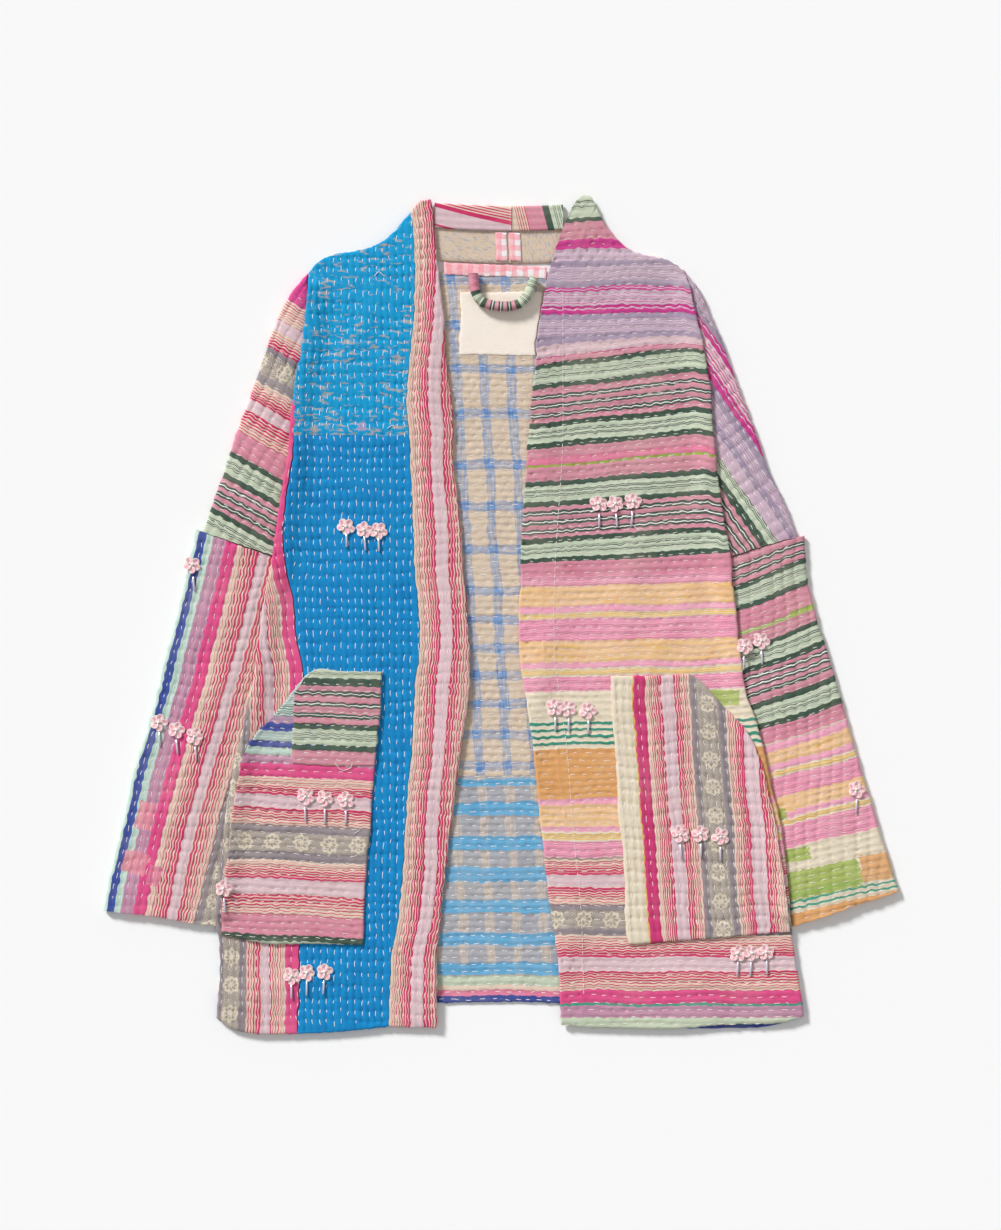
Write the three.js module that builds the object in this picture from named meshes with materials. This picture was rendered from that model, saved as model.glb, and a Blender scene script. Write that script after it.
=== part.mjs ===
// A quilted patchwork jacket laid flat on its back, front open, sleeves down at its sides.
// Millimetres, +Z up. Every cloth piece is a closed wall with a plain inside and quilting
// raised in its outer points. Tables give places on the cloth: x to the right and y up as the jacket
// is seen from above, neck away from the viewer. Left and right in names are meant so too.
import * as THREE from "three";

// Cloth and layers
const WALL = 2.0; // cloth wall at a row of stitches
const QUILT_RISE = 0.6; // height of the cloth between two rows of stitches
const QUILT_PITCH = 6.4; // distance between rows of stitches
const SEAM_GAP = 0.3;
const LAYER_GAP = 0.3; // air between panels that lie on each other
const PLAIN_STEPS = 3; // grid steps along a row of stitches on the right front and the pockets
const LONG_STEPS = 20; // grid steps from shoulder to hem, closer together at the armhole
const LONG_BIAS = 1.35;
const BACK_FLOOR = 0;
const FRONT_FLOOR = BACK_FLOOR + WALL + QUILT_RISE + LAYER_GAP;
const POCKET_FLOOR = FRONT_FLOOR + WALL + QUILT_RISE + LAYER_GAP;
const POCKET_WALL = 1.8;
const BAND_WALL = 2.9; // front bands are folded double
const BAND_RISE = 0.4;
const BAND_ROW_PITCH = 12;

// Sleeves: flattened tubes
const SLEEVE_HEIGHT = 5.4;
const SLEEVE_WALL = 2.1;
const CUFF_SLEEVE_HEIGHT = 5.8; // the lower sleeve is cut a little fuller
const FAN_COLUMNS = 8; // grid steps across the plain sides of an upper sleeve
const CUFF_COLUMNS = 3; // and of a lower one
const INSIDE_STATIONS = 7; // and along it
const TOP_SHARE = 0.42; // share of a sleeve's ring that is its flat top, and again its flat underside

// Neck
const COLLAR_FLOOR = 0;
const COLLAR_WALL = 2.0;
const COLLAR_SLOT = 0.5; // air inside the folded collar
const COLLAR_BEVEL = 1.4; // at the outside of its fold
const COLLAR_STEP = 12;
const TAPE_WALL = 1.0;
const TAPE_STEP = 14;
const LOOP_RADIUS = 4.6;
const LOOP_SIDES = 8;
const LOOP_STATIONS = 18;
const LABEL_WALL = 1.0;
const LABEL_FLOOR = BACK_FLOOR + WALL + QUILT_RISE + LAYER_GAP;
const LOOP_FLOOR = LABEL_FLOOR + LABEL_WALL + LAYER_GAP; // the loop lies on the label

// Seams and edges, from neck or shoulder to hem
const ARMHOLE_L = [
  { x: -176, y: 315 },
  { x: -174, y: 290 },
  { x: -180, y: 244 },
  { x: -187, y: 196 },
  { x: -195, y: 122 },
  { x: -206, y: 55 },
];
const SIDE_L = [
  { x: -206, y: 55 },
  { x: -214, y: 10 },
  { x: -225, y: -70 },
  { x: -241, y: -138 },
  { x: -254, y: -229 },
  { x: -258, y: -300 },
  { x: -261, y: -371 },
];
const HEM_L = [
  { x: -261, y: -371 },
  { x: -244, y: -382 },
  { x: -222, y: -387 },
  { x: -185, y: -388 },
  { x: -153, y: -384 },
  { x: -102, y: -379 },
];
const SHOULDER_L = [
  { x: -176, y: 315 },
  { x: -161, y: 328 },
  { x: -124, y: 337 },
  { x: -103, y: 348 },
  { x: -83, y: 370 },
];
const BAND_SEAM_L = [
  { x: -83, y: 370 },
  { x: -79, y: 335 },
  { x: -79, y: 298 },
  { x: -86, y: 197 },
  { x: -84, y: 160 },
  { x: -79, y: 50 },
  { x: -75, y: -21 },
  { x: -80, y: -93 },
  { x: -88, y: -200 },
  { x: -93, y: -274 },
  { x: -101, y: -315 },
  { x: -102, y: -379 },
];
const OPENING_L = [
  { x: -64, y: 382 },
  { x: -59, y: 336 },
  { x: -49, y: 238 },
  { x: -40, y: 110 },
  { x: -30, y: -5 },
  { x: -28, y: -42 },
  { x: -31, y: -88 },
  { x: -46, y: -198 },
  { x: -57, y: -300 },
  { x: -59, y: -380 },
];
const ARMHOLE_R = [
  { x: 169, y: 317 },
  { x: 173, y: 301 },
  { x: 187, y: 218 },
  { x: 192, y: 165 },
  { x: 199, y: 102 },
  { x: 208, y: 48 },
];
const SIDE_R = [
  { x: 208, y: 48 },
  { x: 212, y: 5 },
  { x: 221, y: -66 },
  { x: 241, y: -138 },
  { x: 256, y: -211 },
  { x: 268, y: -290 },
  { x: 279, y: -370 },
];
// The back ends a little inside the fronts' shoulders and under the neck tape
const BACK_TOP = [
  { x: -176, y: 315 },
  { x: -161, y: 328 },
  { x: -124, y: 336 },
  { x: -107, y: 339 },
  { x: -74.5, y: 318 },
  { x: 0, y: 316 },
  { x: 71.5, y: 318 },
  { x: 101, y: 341 },
  { x: 119, y: 335 },
  { x: 154, y: 326 },
  { x: 169, y: 317 },
];
const BACK_HEM = [
  { x: -261, y: -371 },
  { x: -180, y: -376 },
  { x: 0, y: -357 },
  { x: 120, y: -376 },
  { x: 240, y: -380 },
  { x: 279, y: -370 },
];
const BAND_TOP_L = [
  { x: -83, y: 370 },
  { x: -76, y: 379 },
  { x: -64, y: 382 },
];
const BAND_FOOT_L = [
  { x: -102, y: -379 },
  { x: -80, y: -380 },
  { x: -59, y: -380 },
];
const BAND_TOP_R = [
  { x: 62, y: 365 },
  { x: 72, y: 384 },
  { x: 82, y: 385 },
  { x: 88, y: 376 },
];
const BAND_FOOT_R = [
  { x: 56, y: -377 },
  { x: 76, y: -379 },
];
const HEM_R = [
  { x: 76, y: -379 },
  { x: 128, y: -382 },
  { x: 203, y: -378 },
  { x: 262, y: -375 },
  { x: 279, y: -370 },
];
const SHOULDER_R = [
  { x: 169, y: 317 },
  { x: 154, y: 326 },
  { x: 119, y: 336 },
  { x: 99, y: 355 },
  { x: 88, y: 376 },
];
const BAND_SEAM_R = [
  { x: 88, y: 376 },
  { x: 76, y: 345 },
  { x: 63, y: 298 },
  { x: 53, y: 226 },
  { x: 46, y: 153 },
  { x: 39, y: 38 },
  { x: 40, y: -37 },
  { x: 53, y: -124 },
  { x: 60, y: -200 },
  { x: 69, y: -272 },
  { x: 76, y: -330 },
  { x: 76, y: -379 },
];
const OPENING_R = [
  { x: 62, y: 365 },
  { x: 52, y: 340 },
  { x: 43, y: 310 },
  { x: 31, y: 225 },
  { x: 25, y: 153 },
  { x: 18, y: 38 },
  { x: 18, y: -37 },
  { x: 30, y: -123 },
  { x: 37, y: -197 },
  { x: 46, y: -270 },
  { x: 54, y: -335 },
  { x: 56, y: -377 },
];

// Sleeve edges: the outer edge from shoulder to cuff in two cuts
const SLEEVE_L = [
  { x: -176, y: 315 },
  { x: -196, y: 290 },
  { x: -215, y: 244 },
  { x: -235, y: 188 },
  { x: -254, y: 133 },
  { x: -274, y: 77 },
];
const SLEEVE_R = [
  { x: 169, y: 317 },
  { x: 184, y: 297 },
  { x: 206, y: 244 },
  { x: 227, y: 188 },
  { x: 247, y: 133 },
  { x: 273, y: 72 },
];
const CUFF_SLEEVE_L = [
  { x: -280, y: 78.4 },
  { x: -286, y: 50 },
  { x: -313, y: -60 },
  { x: -343, y: -170 },
  { x: -366, y: -272 },
];
const CUFF_SLEEVE_R = [
  { x: 279, y: 73 },
  { x: 285, y: 22 },
  { x: 308, y: -60 },
  { x: 340, y: -170 },
  { x: 367, y: -254 },
];
const CUFF_END_L = -289; // height at which each cuff meets the body's side edge
const CUFF_END_R = -288;
const CUFF_WIDTH = 102;
const UNDERARM = 52; // height of the foot of both armholes
const ARMHOLE_TAIL = 42; // length of armhole seam that belongs to the sleeve's inner edge
const SLEEVE_GAP = 0.6; // air between a sleeve and the body's edge
const FAN_STATIONS = 10;
const PLAIN_STATIONS = 14;
const EDGE_SAMPLES = 500;

// Pockets: the four sides of each
const POCKET_L = {
  top: [
    { x: -239, y: -138 },
    { x: -230, y: -117 },
    { x: -201, y: -84 },
    { x: -173, y: -51 },
    { x: -140, y: -52 },
    { x: -109, y: -53 },
  ],
  right: [
    { x: -109, y: -53 },
    { x: -112, y: -108 },
    { x: -119, y: -182 },
    { x: -124, y: -250 },
    { x: -127, y: -303 },
  ],
  bottom: [
    { x: -256, y: -295 },
    { x: -210, y: -302 },
    { x: -163, y: -303 },
    { x: -127, y: -303 },
  ],
  left: [
    { x: -239, y: -138 },
    { x: -246, y: -185 },
    { x: -252, y: -229 },
    { x: -256, y: -295 },
  ],
};
const POCKET_R = {
  top: [
    { x: 101, y: -57 },
    { x: 156, y: -56 },
    { x: 172, y: -54 },
    { x: 217, y: -97 },
    { x: 233, y: -120 },
    { x: 243, y: -146 },
  ],
  right: [
    { x: 243, y: -146 },
    { x: 250, y: -179 },
    { x: 260, y: -240 },
    { x: 266, y: -291 },
  ],
  bottom: [
    { x: 117, y: -302 },
    { x: 150, y: -301 },
    { x: 210, y: -296 },
    { x: 266, y: -291 },
  ],
  left: [
    { x: 101, y: -57 },
    { x: 106, y: -146 },
    { x: 111, y: -205 },
    { x: 117, y: -302 },
  ],
};

// Neck pieces
const BACK_ROWS = { from: 0.34, to: 0.62, steps: 24, hiddenSteps: 6 };
const COLLAR = { left: -60.5, middle: 10, right: 57.5, foot: 326, fold: 379, lip: 356 };
const COLLAR_FOLD_DIP = 3; // the collar's fold dips towards the centre-back seam
const NECK_TAPE = { left: -52, right: 42, top: 324, width: 11, slope: -0.05 };
const SEAM_TAPES = [
  { name: "collar_tape_left", x: -4, width: 10 },
  { name: "collar_tape_right", x: 8, width: 10 },
];
const TAPE_TOP = 354;
const TAPE_FOOT = 328;
const LOOP_PATH = [
  { x: -25, y: 311 },
  { x: -24, y: 300 },
  { x: -20, y: 290 },
  { x: -12, y: 285 },
  { x: 8, y: 283 },
  { x: 18, y: 286 },
  { x: 24, y: 292 },
  { x: 31, y: 307 },
];
const LABEL = { left: -37, topRight: 37.5, footRight: 31, top: 296.5, foot: 239 };

// Curves: one smooth line through a table's places, read by share of its length
function curveOf(places) {
  const points = places.map((p) => new THREE.Vector3(p.x, p.y, 0));
  return new THREE.CatmullRomCurve3(points, false, "centripetal");
}

function join(first, second) {
  return [...first, ...second.slice(1)];
}

function evenShares(count) {
  return Array.from({ length: count + 1 }, (_, i) => i / count);
}

// A smooth edge as points at shares of its length, moved sideways by a seam's gap
function edgeOf(places, shares, sideways = 0) {
  const curve = curveOf(places);
  return shares.map((share) => {
    const at = curve.getPointAt(share);
    const along = curve.getTangentAt(share);
    return { x: at.x - along.y * sideways, y: at.y + along.x * sideways };
  });
}

function lengthOf(places) {
  return curveOf(places).getLength();
}

// A grid of points between four edges that share their corners
function fillEdges(top, bottom, left, right, columns, rows) {
  const far = columns.length - 1;
  return rows.map((v, r) =>
    columns.map((u, c) => {
      const point = {};
      for (const axis of ["x", "y"]) {
        const across = (1 - u) * left[r][axis] + u * right[r][axis];
        const down = (1 - v) * top[c][axis] + v * bottom[c][axis];
        const corners =
          (1 - u) * ((1 - v) * top[0][axis] + v * bottom[0][axis]) +
          u * ((1 - v) * top[far][axis] + v * bottom[far][axis]);
        point[axis] = across + down - corners;
      }
      return point;
    }),
  );
}

class Skin {
  constructor() {
    this.places = [];
    this.faces = [];
  }

  point(x, y, z) {
    this.places.push(x, y, z);
    return this.places.length / 3 - 1;
  }

  face(a, b, c) {
    this.faces.push(a, b, c);
  }

  mesh(name, material) {
    const geometry = new THREE.BufferGeometry();
    geometry.setAttribute("position", new THREE.Float32BufferAttribute(this.places, 3));
    geometry.setIndex(this.faces);
    geometry.computeVertexNormals();
    const mesh = new THREE.Mesh(geometry, material);
    mesh.name = name;
    return mesh;
  }
}

// A wall over a grid: quilted points on top, plain and level underneath
function wallOver(grid, floor, heightAt) {
  const skin = new Skin();
  const rows = grid.length - 1;
  const columns = grid[0].length - 1;
  const top = grid.map((line, r) => line.map((p, c) => skin.point(p.x, p.y, floor + heightAt(r, c))));
  for (let r = 0; r < rows; r += 1) {
    for (let c = 0; c < columns; c += 1) {
      skin.face(top[r][c], top[r + 1][c], top[r + 1][c + 1]);
      skin.face(top[r][c], top[r + 1][c + 1], top[r][c + 1]);
    }
  }
  const rim = [];
  for (let r = 0; r < rows; r += 1) rim.push([r, 0]);
  for (let c = 0; c < columns; c += 1) rim.push([rows, c]);
  for (let r = rows; r > 0; r -= 1) rim.push([r, columns]);
  for (let c = columns; c > 0; c -= 1) rim.push([0, c]);
  const foot = rim.map(([r, c]) => skin.point(grid[r][c].x, grid[r][c].y, floor));
  rim.forEach(([r, c], i) => {
    const next = (i + 1) % rim.length;
    const [nr, nc] = rim[next];
    skin.face(top[r][c], foot[i], foot[next]);
    skin.face(top[r][c], foot[next], top[nr][nc]);
  });
  const outline = rim.map(([r, c]) => new THREE.Vector2(grid[r][c].x, grid[r][c].y));
  for (const [a, b, c] of THREE.ShapeUtils.triangulateShape(outline, [])) {
    skin.face(foot[a], foot[c], foot[b]);
  }
  return skin;
}

const evenCount = (length, step) => Math.max(2, 2 * Math.round(length / (2 * step)));
const ridge = (index, wall, rise) => (index % 2 === 0 ? wall : wall + rise);

// A panel between four edge tables; its rows of stitches run down it or across it
function panel(cut) {
  const { top, bottom, left, right, floor, wall = WALL, rise = QUILT_RISE, pitch = QUILT_PITCH } = cut;
  const { rowsRun, plainShares = evenShares(PLAIN_STEPS), seamLeft = 0, seamRight = 0 } = cut;
  const down = rowsRun === "down";
  const fineLength = down
    ? Math.max(lengthOf(top), lengthOf(bottom))
    : Math.max(lengthOf(left), lengthOf(right));
  const fineShares = cut.fineShares ?? evenShares(evenCount(fineLength, pitch / 2));
  const columns = down ? fineShares : plainShares;
  const rows = down ? plainShares : fineShares;
  const leftEdge = edgeOf(left, rows, seamLeft);
  const rightEdge = edgeOf(right, rows, -seamRight);
  const lastRow = rows.length - 1;
  const topEdge = pinned(edgeOf(top, columns), leftEdge[0], rightEdge[0]);
  const bottomEdge = pinned(edgeOf(bottom, columns), leftEdge[lastRow], rightEdge[lastRow]);
  const grid = fillEdges(topEdge, bottomEdge, leftEdge, rightEdge, columns, rows);
  return wallOver(grid, floor, (r, c) => ridge(down ? c : r, wall, rise));
}

// An edge with its two ends moved to the corners that it meets
function pinned(edge, start, end) {
  const last = edge.length - 1;
  const first = edge[0];
  const final = edge[last];
  return edge.map((p, i) => {
    const t = i / last;
    return {
      x: p.x + (1 - t) * (start.x - first.x) + t * (end.x - final.x),
      y: p.y + (1 - t) * (start.y - first.y) + t * (end.y - final.y),
    };
  });
}

// One place on a flattened tube's section, at share t of the way round from its inner fold
function sectionAt(t, width, height, inset) {
  const radius = height / 2 - inset;
  const flat = width - height;
  const fold = (1 - 2 * TOP_SHARE) / 2;
  const turned = (t + fold / 2) % 1;
  if (turned < fold) {
    const angle = Math.PI * (1.5 - turned / fold);
    return { s: height / 2 + radius * Math.cos(angle), z: height / 2 + radius * Math.sin(angle) };
  }
  if (turned < fold + TOP_SHARE) {
    const share = (turned - fold) / TOP_SHARE;
    return { s: height / 2 + share * flat, z: height / 2 + radius };
  }
  if (turned < 2 * fold + TOP_SHARE) {
    const angle = Math.PI * (0.5 - (turned - fold - TOP_SHARE) / fold);
    return { s: width - height / 2 + radius * Math.cos(angle), z: height / 2 + radius * Math.sin(angle) };
  }
  const share = (turned - 2 * fold - TOP_SHARE) / TOP_SHARE;
  return { s: width - height / 2 - share * flat, z: height / 2 - radius };
}

// The shares round a ring: fine on the quilted top, coarse elsewhere
function ringShares(topColumns, underColumns) {
  const fold = (1 - 2 * TOP_SHARE) / 2;
  const shares = [0];
  for (let i = 0; i <= topColumns; i += 1) shares.push(fold / 2 + (TOP_SHARE * i) / topColumns);
  shares.push(0.5);
  for (let i = 0; i <= underColumns; i += 1) {
    shares.push(fold / 2 + TOP_SHARE + fold + (TOP_SHARE * i) / underColumns);
  }
  return shares;
}

// A sleeve tube between an inner and an outer edge; the lines across it may bow like the armhole
function tube({ side, inner, outer, bow, height, wall, rowsRun, topColumns, plainColumns, stations }) {
  const mirrored = side > 0;
  const skin = new Skin();
  const shares = ringShares(topColumns, plainColumns);
  const insideShares = ringShares(plainColumns, plainColumns);
  const ringAt = (station, list, inset, raised) => {
    const a = inner[station];
    const b = outer[station];
    const width = Math.hypot(b.x - a.x, b.y - a.y);
    const bowShare = Math.max(0, 1 - station / (stations * 0.6));
    return list.map((t, i) => {
      const at = sectionAt(t, width, height, inset);
      const share = at.s / width;
      const sag = bow(share);
      const onTop = i >= 1 && i <= topColumns + 1;
      const crest = rowsRun === "down" ? i % 2 === 0 : station % 2 === 1;
      const lift = raised && onTop && crest ? QUILT_RISE : 0;
      return skin.point(
        a.x + (b.x - a.x) * share + sag.x * bowShare,
        a.y + (b.y - a.y) * share + sag.y * bowShare,
        at.z + lift,
      );
    });
  };
  const everyStation = evenShares(stations).map((share) => Math.round(share * stations));
  const someStations = evenShares(INSIDE_STATIONS).map((share) => Math.round(share * stations));
  const outside = everyStation.map((k) => ringAt(k, shares, 0, true));
  const inside = someStations.map((k) => ringAt(k, insideShares, wall, false));
  for (let k = 0; k + 1 < outside.length; k += 1) band(skin, outside[k], outside[k + 1], mirrored);
  for (let k = 0; k + 1 < inside.length; k += 1) band(skin, inside[k], inside[k + 1], !mirrored);
  zip(skin, outside[0], shares, inside[0], insideShares, !mirrored);
  zip(skin, outside.at(-1), shares, inside.at(-1), insideShares, mirrored);
  return skin;
}

function band(skin, here, there, turnedIn) {
  const count = here.length;
  for (let i = 0; i < count; i += 1) {
    const j = (i + 1) % count;
    quad(skin, here[i], here[j], there[j], there[i], turnedIn);
  }
}

function quad(skin, a, b, c, d, flipped) {
  if (flipped) {
    skin.face(a, c, b);
    skin.face(a, d, c);
  } else {
    skin.face(a, b, c);
    skin.face(a, c, d);
  }
}

// Closes a tube's end between its outer and inner rings, whichever share comes next
function zip(skin, outer, outerShares, inner, innerShares, atStart) {
  let i = 0;
  let j = 0;
  while (i < outer.length || j < inner.length) {
    const nextOuter = i < outer.length ? (outerShares[i + 1] ?? 1) : Infinity;
    const nextInner = j < inner.length ? (innerShares[j + 1] ?? 1) : Infinity;
    const a = outer[i % outer.length];
    const b = inner[j % inner.length];
    if (nextOuter <= nextInner) {
      const c = outer[(i + 1) % outer.length];
      skin.face(a, atStart ? b : c, atStart ? c : b);
      i += 1;
    } else {
      const c = inner[(j + 1) % inner.length];
      skin.face(a, atStart ? b : c, atStart ? c : b);
      j += 1;
    }
  }
}

// The share of a body edge's length at which it has come down to a height
function shareAt(curve, y) {
  const share = evenShares(EDGE_SAMPLES).find((t) => curve.getPointAt(t).y <= y);
  return share ?? 1;
}

// The upper sleeve fans from the armhole seam to the cross seam above the elbow
function upperSleeve(side, bodyEdge, edge, rowsRun) {
  const curve = curveOf(bodyEdge);
  const outer0 = bodyEdge[0];
  const underarm = shareAt(curve, UNDERARM);
  const head = underarm - ARMHOLE_TAIL / curve.getLength();
  const across = rowsRun === "across";
  const stations = across ? evenCount(lengthOf(edge), QUILT_PITCH) : FAN_STATIONS;
  const topColumns = across ? FAN_COLUMNS : evenCount(head * curve.getLength(), QUILT_PITCH);
  const onSeam = (share) => {
    const at = curve.getPointAt(share);
    return { x: at.x + side * SLEEVE_GAP, y: at.y };
  };
  const outer = edgeOf(edge, evenShares(stations));
  outer[0] = { x: outer0.x + side * SLEEVE_GAP, y: outer0.y - SLEEVE_GAP };
  const inner = evenShares(stations).map((t) => onSeam(head + (underarm - head) * t));
  const start = inner[0];
  const end = outer[0];
  const bow = (share) => {
    const at = onSeam(head * (1 - THREE.MathUtils.clamp(share, 0, 1)));
    return {
      x: at.x - (start.x + (end.x - start.x) * share),
      y: at.y - (start.y + (end.y - start.y) * share),
    };
  };
  const shape = { height: SLEEVE_HEIGHT, wall: SLEEVE_WALL, rowsRun, topColumns, stations };
  return tube({ side, inner, outer, bow, plainColumns: FAN_COLUMNS, ...shape });
}

// The lower sleeve lies beside the body's side edge as far as the cuff
function lowerSleeve(side, edge, bodyEdge, cuffEnd, rowsRun) {
  const across = rowsRun === "across";
  const stations = across ? evenCount(lengthOf(edge), QUILT_PITCH) : PLAIN_STATIONS;
  const topColumns = across ? CUFF_COLUMNS : evenCount(CUFF_WIDTH, QUILT_PITCH / 2);
  const curve = curveOf(bodyEdge);
  const underarm = shareAt(curve, UNDERARM);
  const cuff = shareAt(curve, cuffEnd);
  const outer = edgeOf(edge, evenShares(stations));
  const inner = evenShares(stations).map((t, k) => {
    const at = curve.getPointAt(underarm + (cuff - underarm) * t);
    return { x: at.x + side * SLEEVE_GAP, y: at.y - (k === 0 ? SLEEVE_GAP : 0) };
  });
  const shape = { height: CUFF_SLEEVE_HEIGHT, wall: SLEEVE_WALL, rowsRun, topColumns, stations };
  const straight = () => ({ x: 0, y: 0 });
  return tube({ side, inner, outer, bow: straight, plainColumns: CUFF_COLUMNS, ...shape });
}

// Half of the back-neck collar: it stands up from the neck and is folded over, open at its lip
function collarHalf(from, to) {
  const outside = COLLAR_FLOOR + 2 * COLLAR_WALL + COLLAR_SLOT;
  const slotFloor = COLLAR_FLOOR + COLLAR_WALL;
  const slotTop = slotFloor + COLLAR_SLOT;
  const fold = COLLAR.fold;
  const profile = [
    { y: COLLAR.foot, z: COLLAR_FLOOR },
    { y: fold - COLLAR_BEVEL, z: COLLAR_FLOOR },
    { y: fold, z: COLLAR_FLOOR + COLLAR_BEVEL },
    { y: fold, z: outside - COLLAR_BEVEL },
    { y: fold - COLLAR_BEVEL, z: outside },
    { y: COLLAR.lip, z: outside },
    { y: COLLAR.lip, z: slotTop },
    { y: fold - COLLAR_WALL, z: slotTop },
    { y: fold - COLLAR_WALL, z: slotFloor },
    { y: COLLAR.foot, z: slotFloor },
  ];
  const skin = new Skin();
  const stations = Math.round((to - from) / COLLAR_STEP);
  const centre = COLLAR.middle;
  const halfWidth = COLLAR.middle - COLLAR.left;
  const rings = [];
  for (let k = 0; k <= stations; k += 1) {
    const x = from + ((to - from) * k) / stations;
    const away = (x - centre) / halfWidth;
    const dip = COLLAR_FOLD_DIP * (1 - away * away);
    rings.push(profile.map((p) => skin.point(x, p.y - dip, p.z)));
  }
  for (let k = 0; k < stations; k += 1) band(skin, rings[k], rings[k + 1], false);
  const outline = profile.map((p) => new THREE.Vector2(p.y, p.z));
  for (const [a, b, c] of THREE.ShapeUtils.triangulateShape(outline, [])) {
    skin.face(rings[0][a], rings[0][c], rings[0][b]);
    skin.face(rings[stations][a], rings[stations][b], rings[stations][c]);
  }
  return skin;
}

// A short strip of tape or a label: a thin plain wall between two level edges
function strip(topEdge, bottomEdge, floor, wall) {
  const rows = [];
  for (const t of [0, 0.5, 1]) {
    rows.push(
      topEdge.map((p, i) => ({
        x: p.x + (bottomEdge[i].x - p.x) * t,
        y: p.y + (bottomEdge[i].y - p.y) * t,
      })),
    );
  }
  return wallOver(rows, floor, () => wall);
}

function level(from, to, y, slope, step) {
  const count = Math.max(1, Math.round((to - from) / step));
  const points = [];
  for (let i = 0; i <= count; i += 1) {
    const x = from + ((to - from) * i) / count;
    points.push({ x, y: y + (x - from) * slope });
  }
  return points;
}

// The hanging loop: a rolled cord of cloth with flat ends
function hangLoop() {
  const curve = curveOf(LOOP_PATH);
  const skin = new Skin();
  const rings = [];
  for (let k = 0; k <= LOOP_STATIONS; k += 1) {
    const at = curve.getPointAt(k / LOOP_STATIONS);
    const along = curve.getTangentAt(k / LOOP_STATIONS);
    const ring = [];
    for (let i = 0; i < LOOP_SIDES; i += 1) {
      const angle = (2 * Math.PI * (i + 0.5)) / LOOP_SIDES;
      const aside = LOOP_RADIUS * Math.cos(angle);
      const z = LOOP_FLOOR + LOOP_RADIUS * (Math.cos(Math.PI / LOOP_SIDES) + Math.sin(angle));
      ring.push(skin.point(at.x - along.y * aside, at.y + along.x * aside, z));
    }
    rings.push(ring);
  }
  for (let k = 0; k < LOOP_STATIONS; k += 1) band(skin, rings[k], rings[k + 1], false);
  for (let i = 1; i < LOOP_SIDES - 1; i += 1) {
    skin.face(rings[0][0], rings[0][i + 1], rings[0][i]);
    skin.face(rings[LOOP_STATIONS][0], rings[LOOP_STATIONS][i], rings[LOOP_STATIONS][i + 1]);
  }
  return skin;
}

// Materials
const cloth = (color) => new THREE.MeshStandardMaterial({ color, roughness: 0.9, metalness: 0 });
const MATERIALS = {
  inside: cloth(0xb9b2a6),
  blue: cloth(0x1292cc),
  rose: cloth(0xcc8e9a),
  beige: cloth(0xd3b29c),
  mint: cloth(0xa9b9a5),
  mauve: cloth(0xb794a8),
  gingham: cloth(0xf0a9b4),
  cream: cloth(0xf1e7da),
};

const longShares = () => evenShares(LONG_STEPS).map((share) => share ** LONG_BIAS);

// The back's rows of stitches are raised where it shows between the fronts
function backColumns() {
  const { from, to, steps, hiddenSteps } = BACK_ROWS;
  const before = evenShares(hiddenSteps).map((share) => share * from);
  const between = evenShares(steps).map((share) => from + share * (to - from));
  const after = evenShares(hiddenSteps).map((share) => to + share * (1 - to));
  return [...before, ...between.slice(1), ...after.slice(1)];
}

function buildBody(add) {
  add("back", "inside", panel({
    top: BACK_TOP,
    bottom: BACK_HEM,
    left: join(ARMHOLE_L, SIDE_L),
    right: join(ARMHOLE_R, SIDE_R),
    floor: BACK_FLOOR,
    rowsRun: "down",
    fineShares: backColumns(),
    plainShares: longShares(),
  }));
  add("front_left", "blue", panel({
    top: SHOULDER_L,
    bottom: HEM_L,
    left: join(ARMHOLE_L, SIDE_L),
    right: BAND_SEAM_L,
    floor: FRONT_FLOOR,
    rowsRun: "down",
    plainShares: longShares(),
  }));
  add("front_right", "rose", panel({
    top: [...SHOULDER_R].reverse(),
    bottom: HEM_R,
    left: BAND_SEAM_R,
    right: join(ARMHOLE_R, SIDE_R),
    floor: FRONT_FLOOR,
    rowsRun: "across",
  }));
  add("band_left", "beige", panel({
    top: BAND_TOP_L,
    bottom: BAND_FOOT_L,
    left: BAND_SEAM_L,
    right: OPENING_L,
    floor: FRONT_FLOOR,
    wall: BAND_WALL,
    rise: BAND_RISE,
    rowsRun: "down",
    pitch: BAND_ROW_PITCH,
    plainShares: longShares(),
    seamLeft: SEAM_GAP,
  }));
  add("band_right", "rose", panel({
    top: BAND_TOP_R,
    bottom: BAND_FOOT_R,
    left: OPENING_R,
    right: BAND_SEAM_R,
    floor: FRONT_FLOOR,
    wall: BAND_WALL,
    rise: BAND_RISE,
    rowsRun: "down",
    pitch: BAND_ROW_PITCH,
    plainShares: evenShares(2 * LONG_STEPS),
    seamRight: SEAM_GAP,
  }));
}

function buildPockets(add) {
  add("pocket_left", "mint", panel({
    ...POCKET_L,
    floor: POCKET_FLOOR,
    wall: POCKET_WALL,
    rowsRun: "across",
  }));
  add("pocket_right", "beige", panel({
    ...POCKET_R,
    floor: POCKET_FLOOR,
    wall: POCKET_WALL,
    rowsRun: "down",
  }));
}

function buildSleeves(add) {
  const bodyLeft = join(ARMHOLE_L, SIDE_L);
  const bodyRight = join(ARMHOLE_R, SIDE_R);
  add("sleeve_left_upper", "rose", upperSleeve(-1, bodyLeft, SLEEVE_L, "across"));
  add("sleeve_left_lower", "beige", lowerSleeve(-1, CUFF_SLEEVE_L, bodyLeft, CUFF_END_L, "down"));
  add("sleeve_right_upper", "mauve", upperSleeve(1, bodyRight, SLEEVE_R, "down"));
  add("sleeve_right_lower", "mint", lowerSleeve(1, CUFF_SLEEVE_R, bodyRight, CUFF_END_R, "across"));
}

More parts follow.
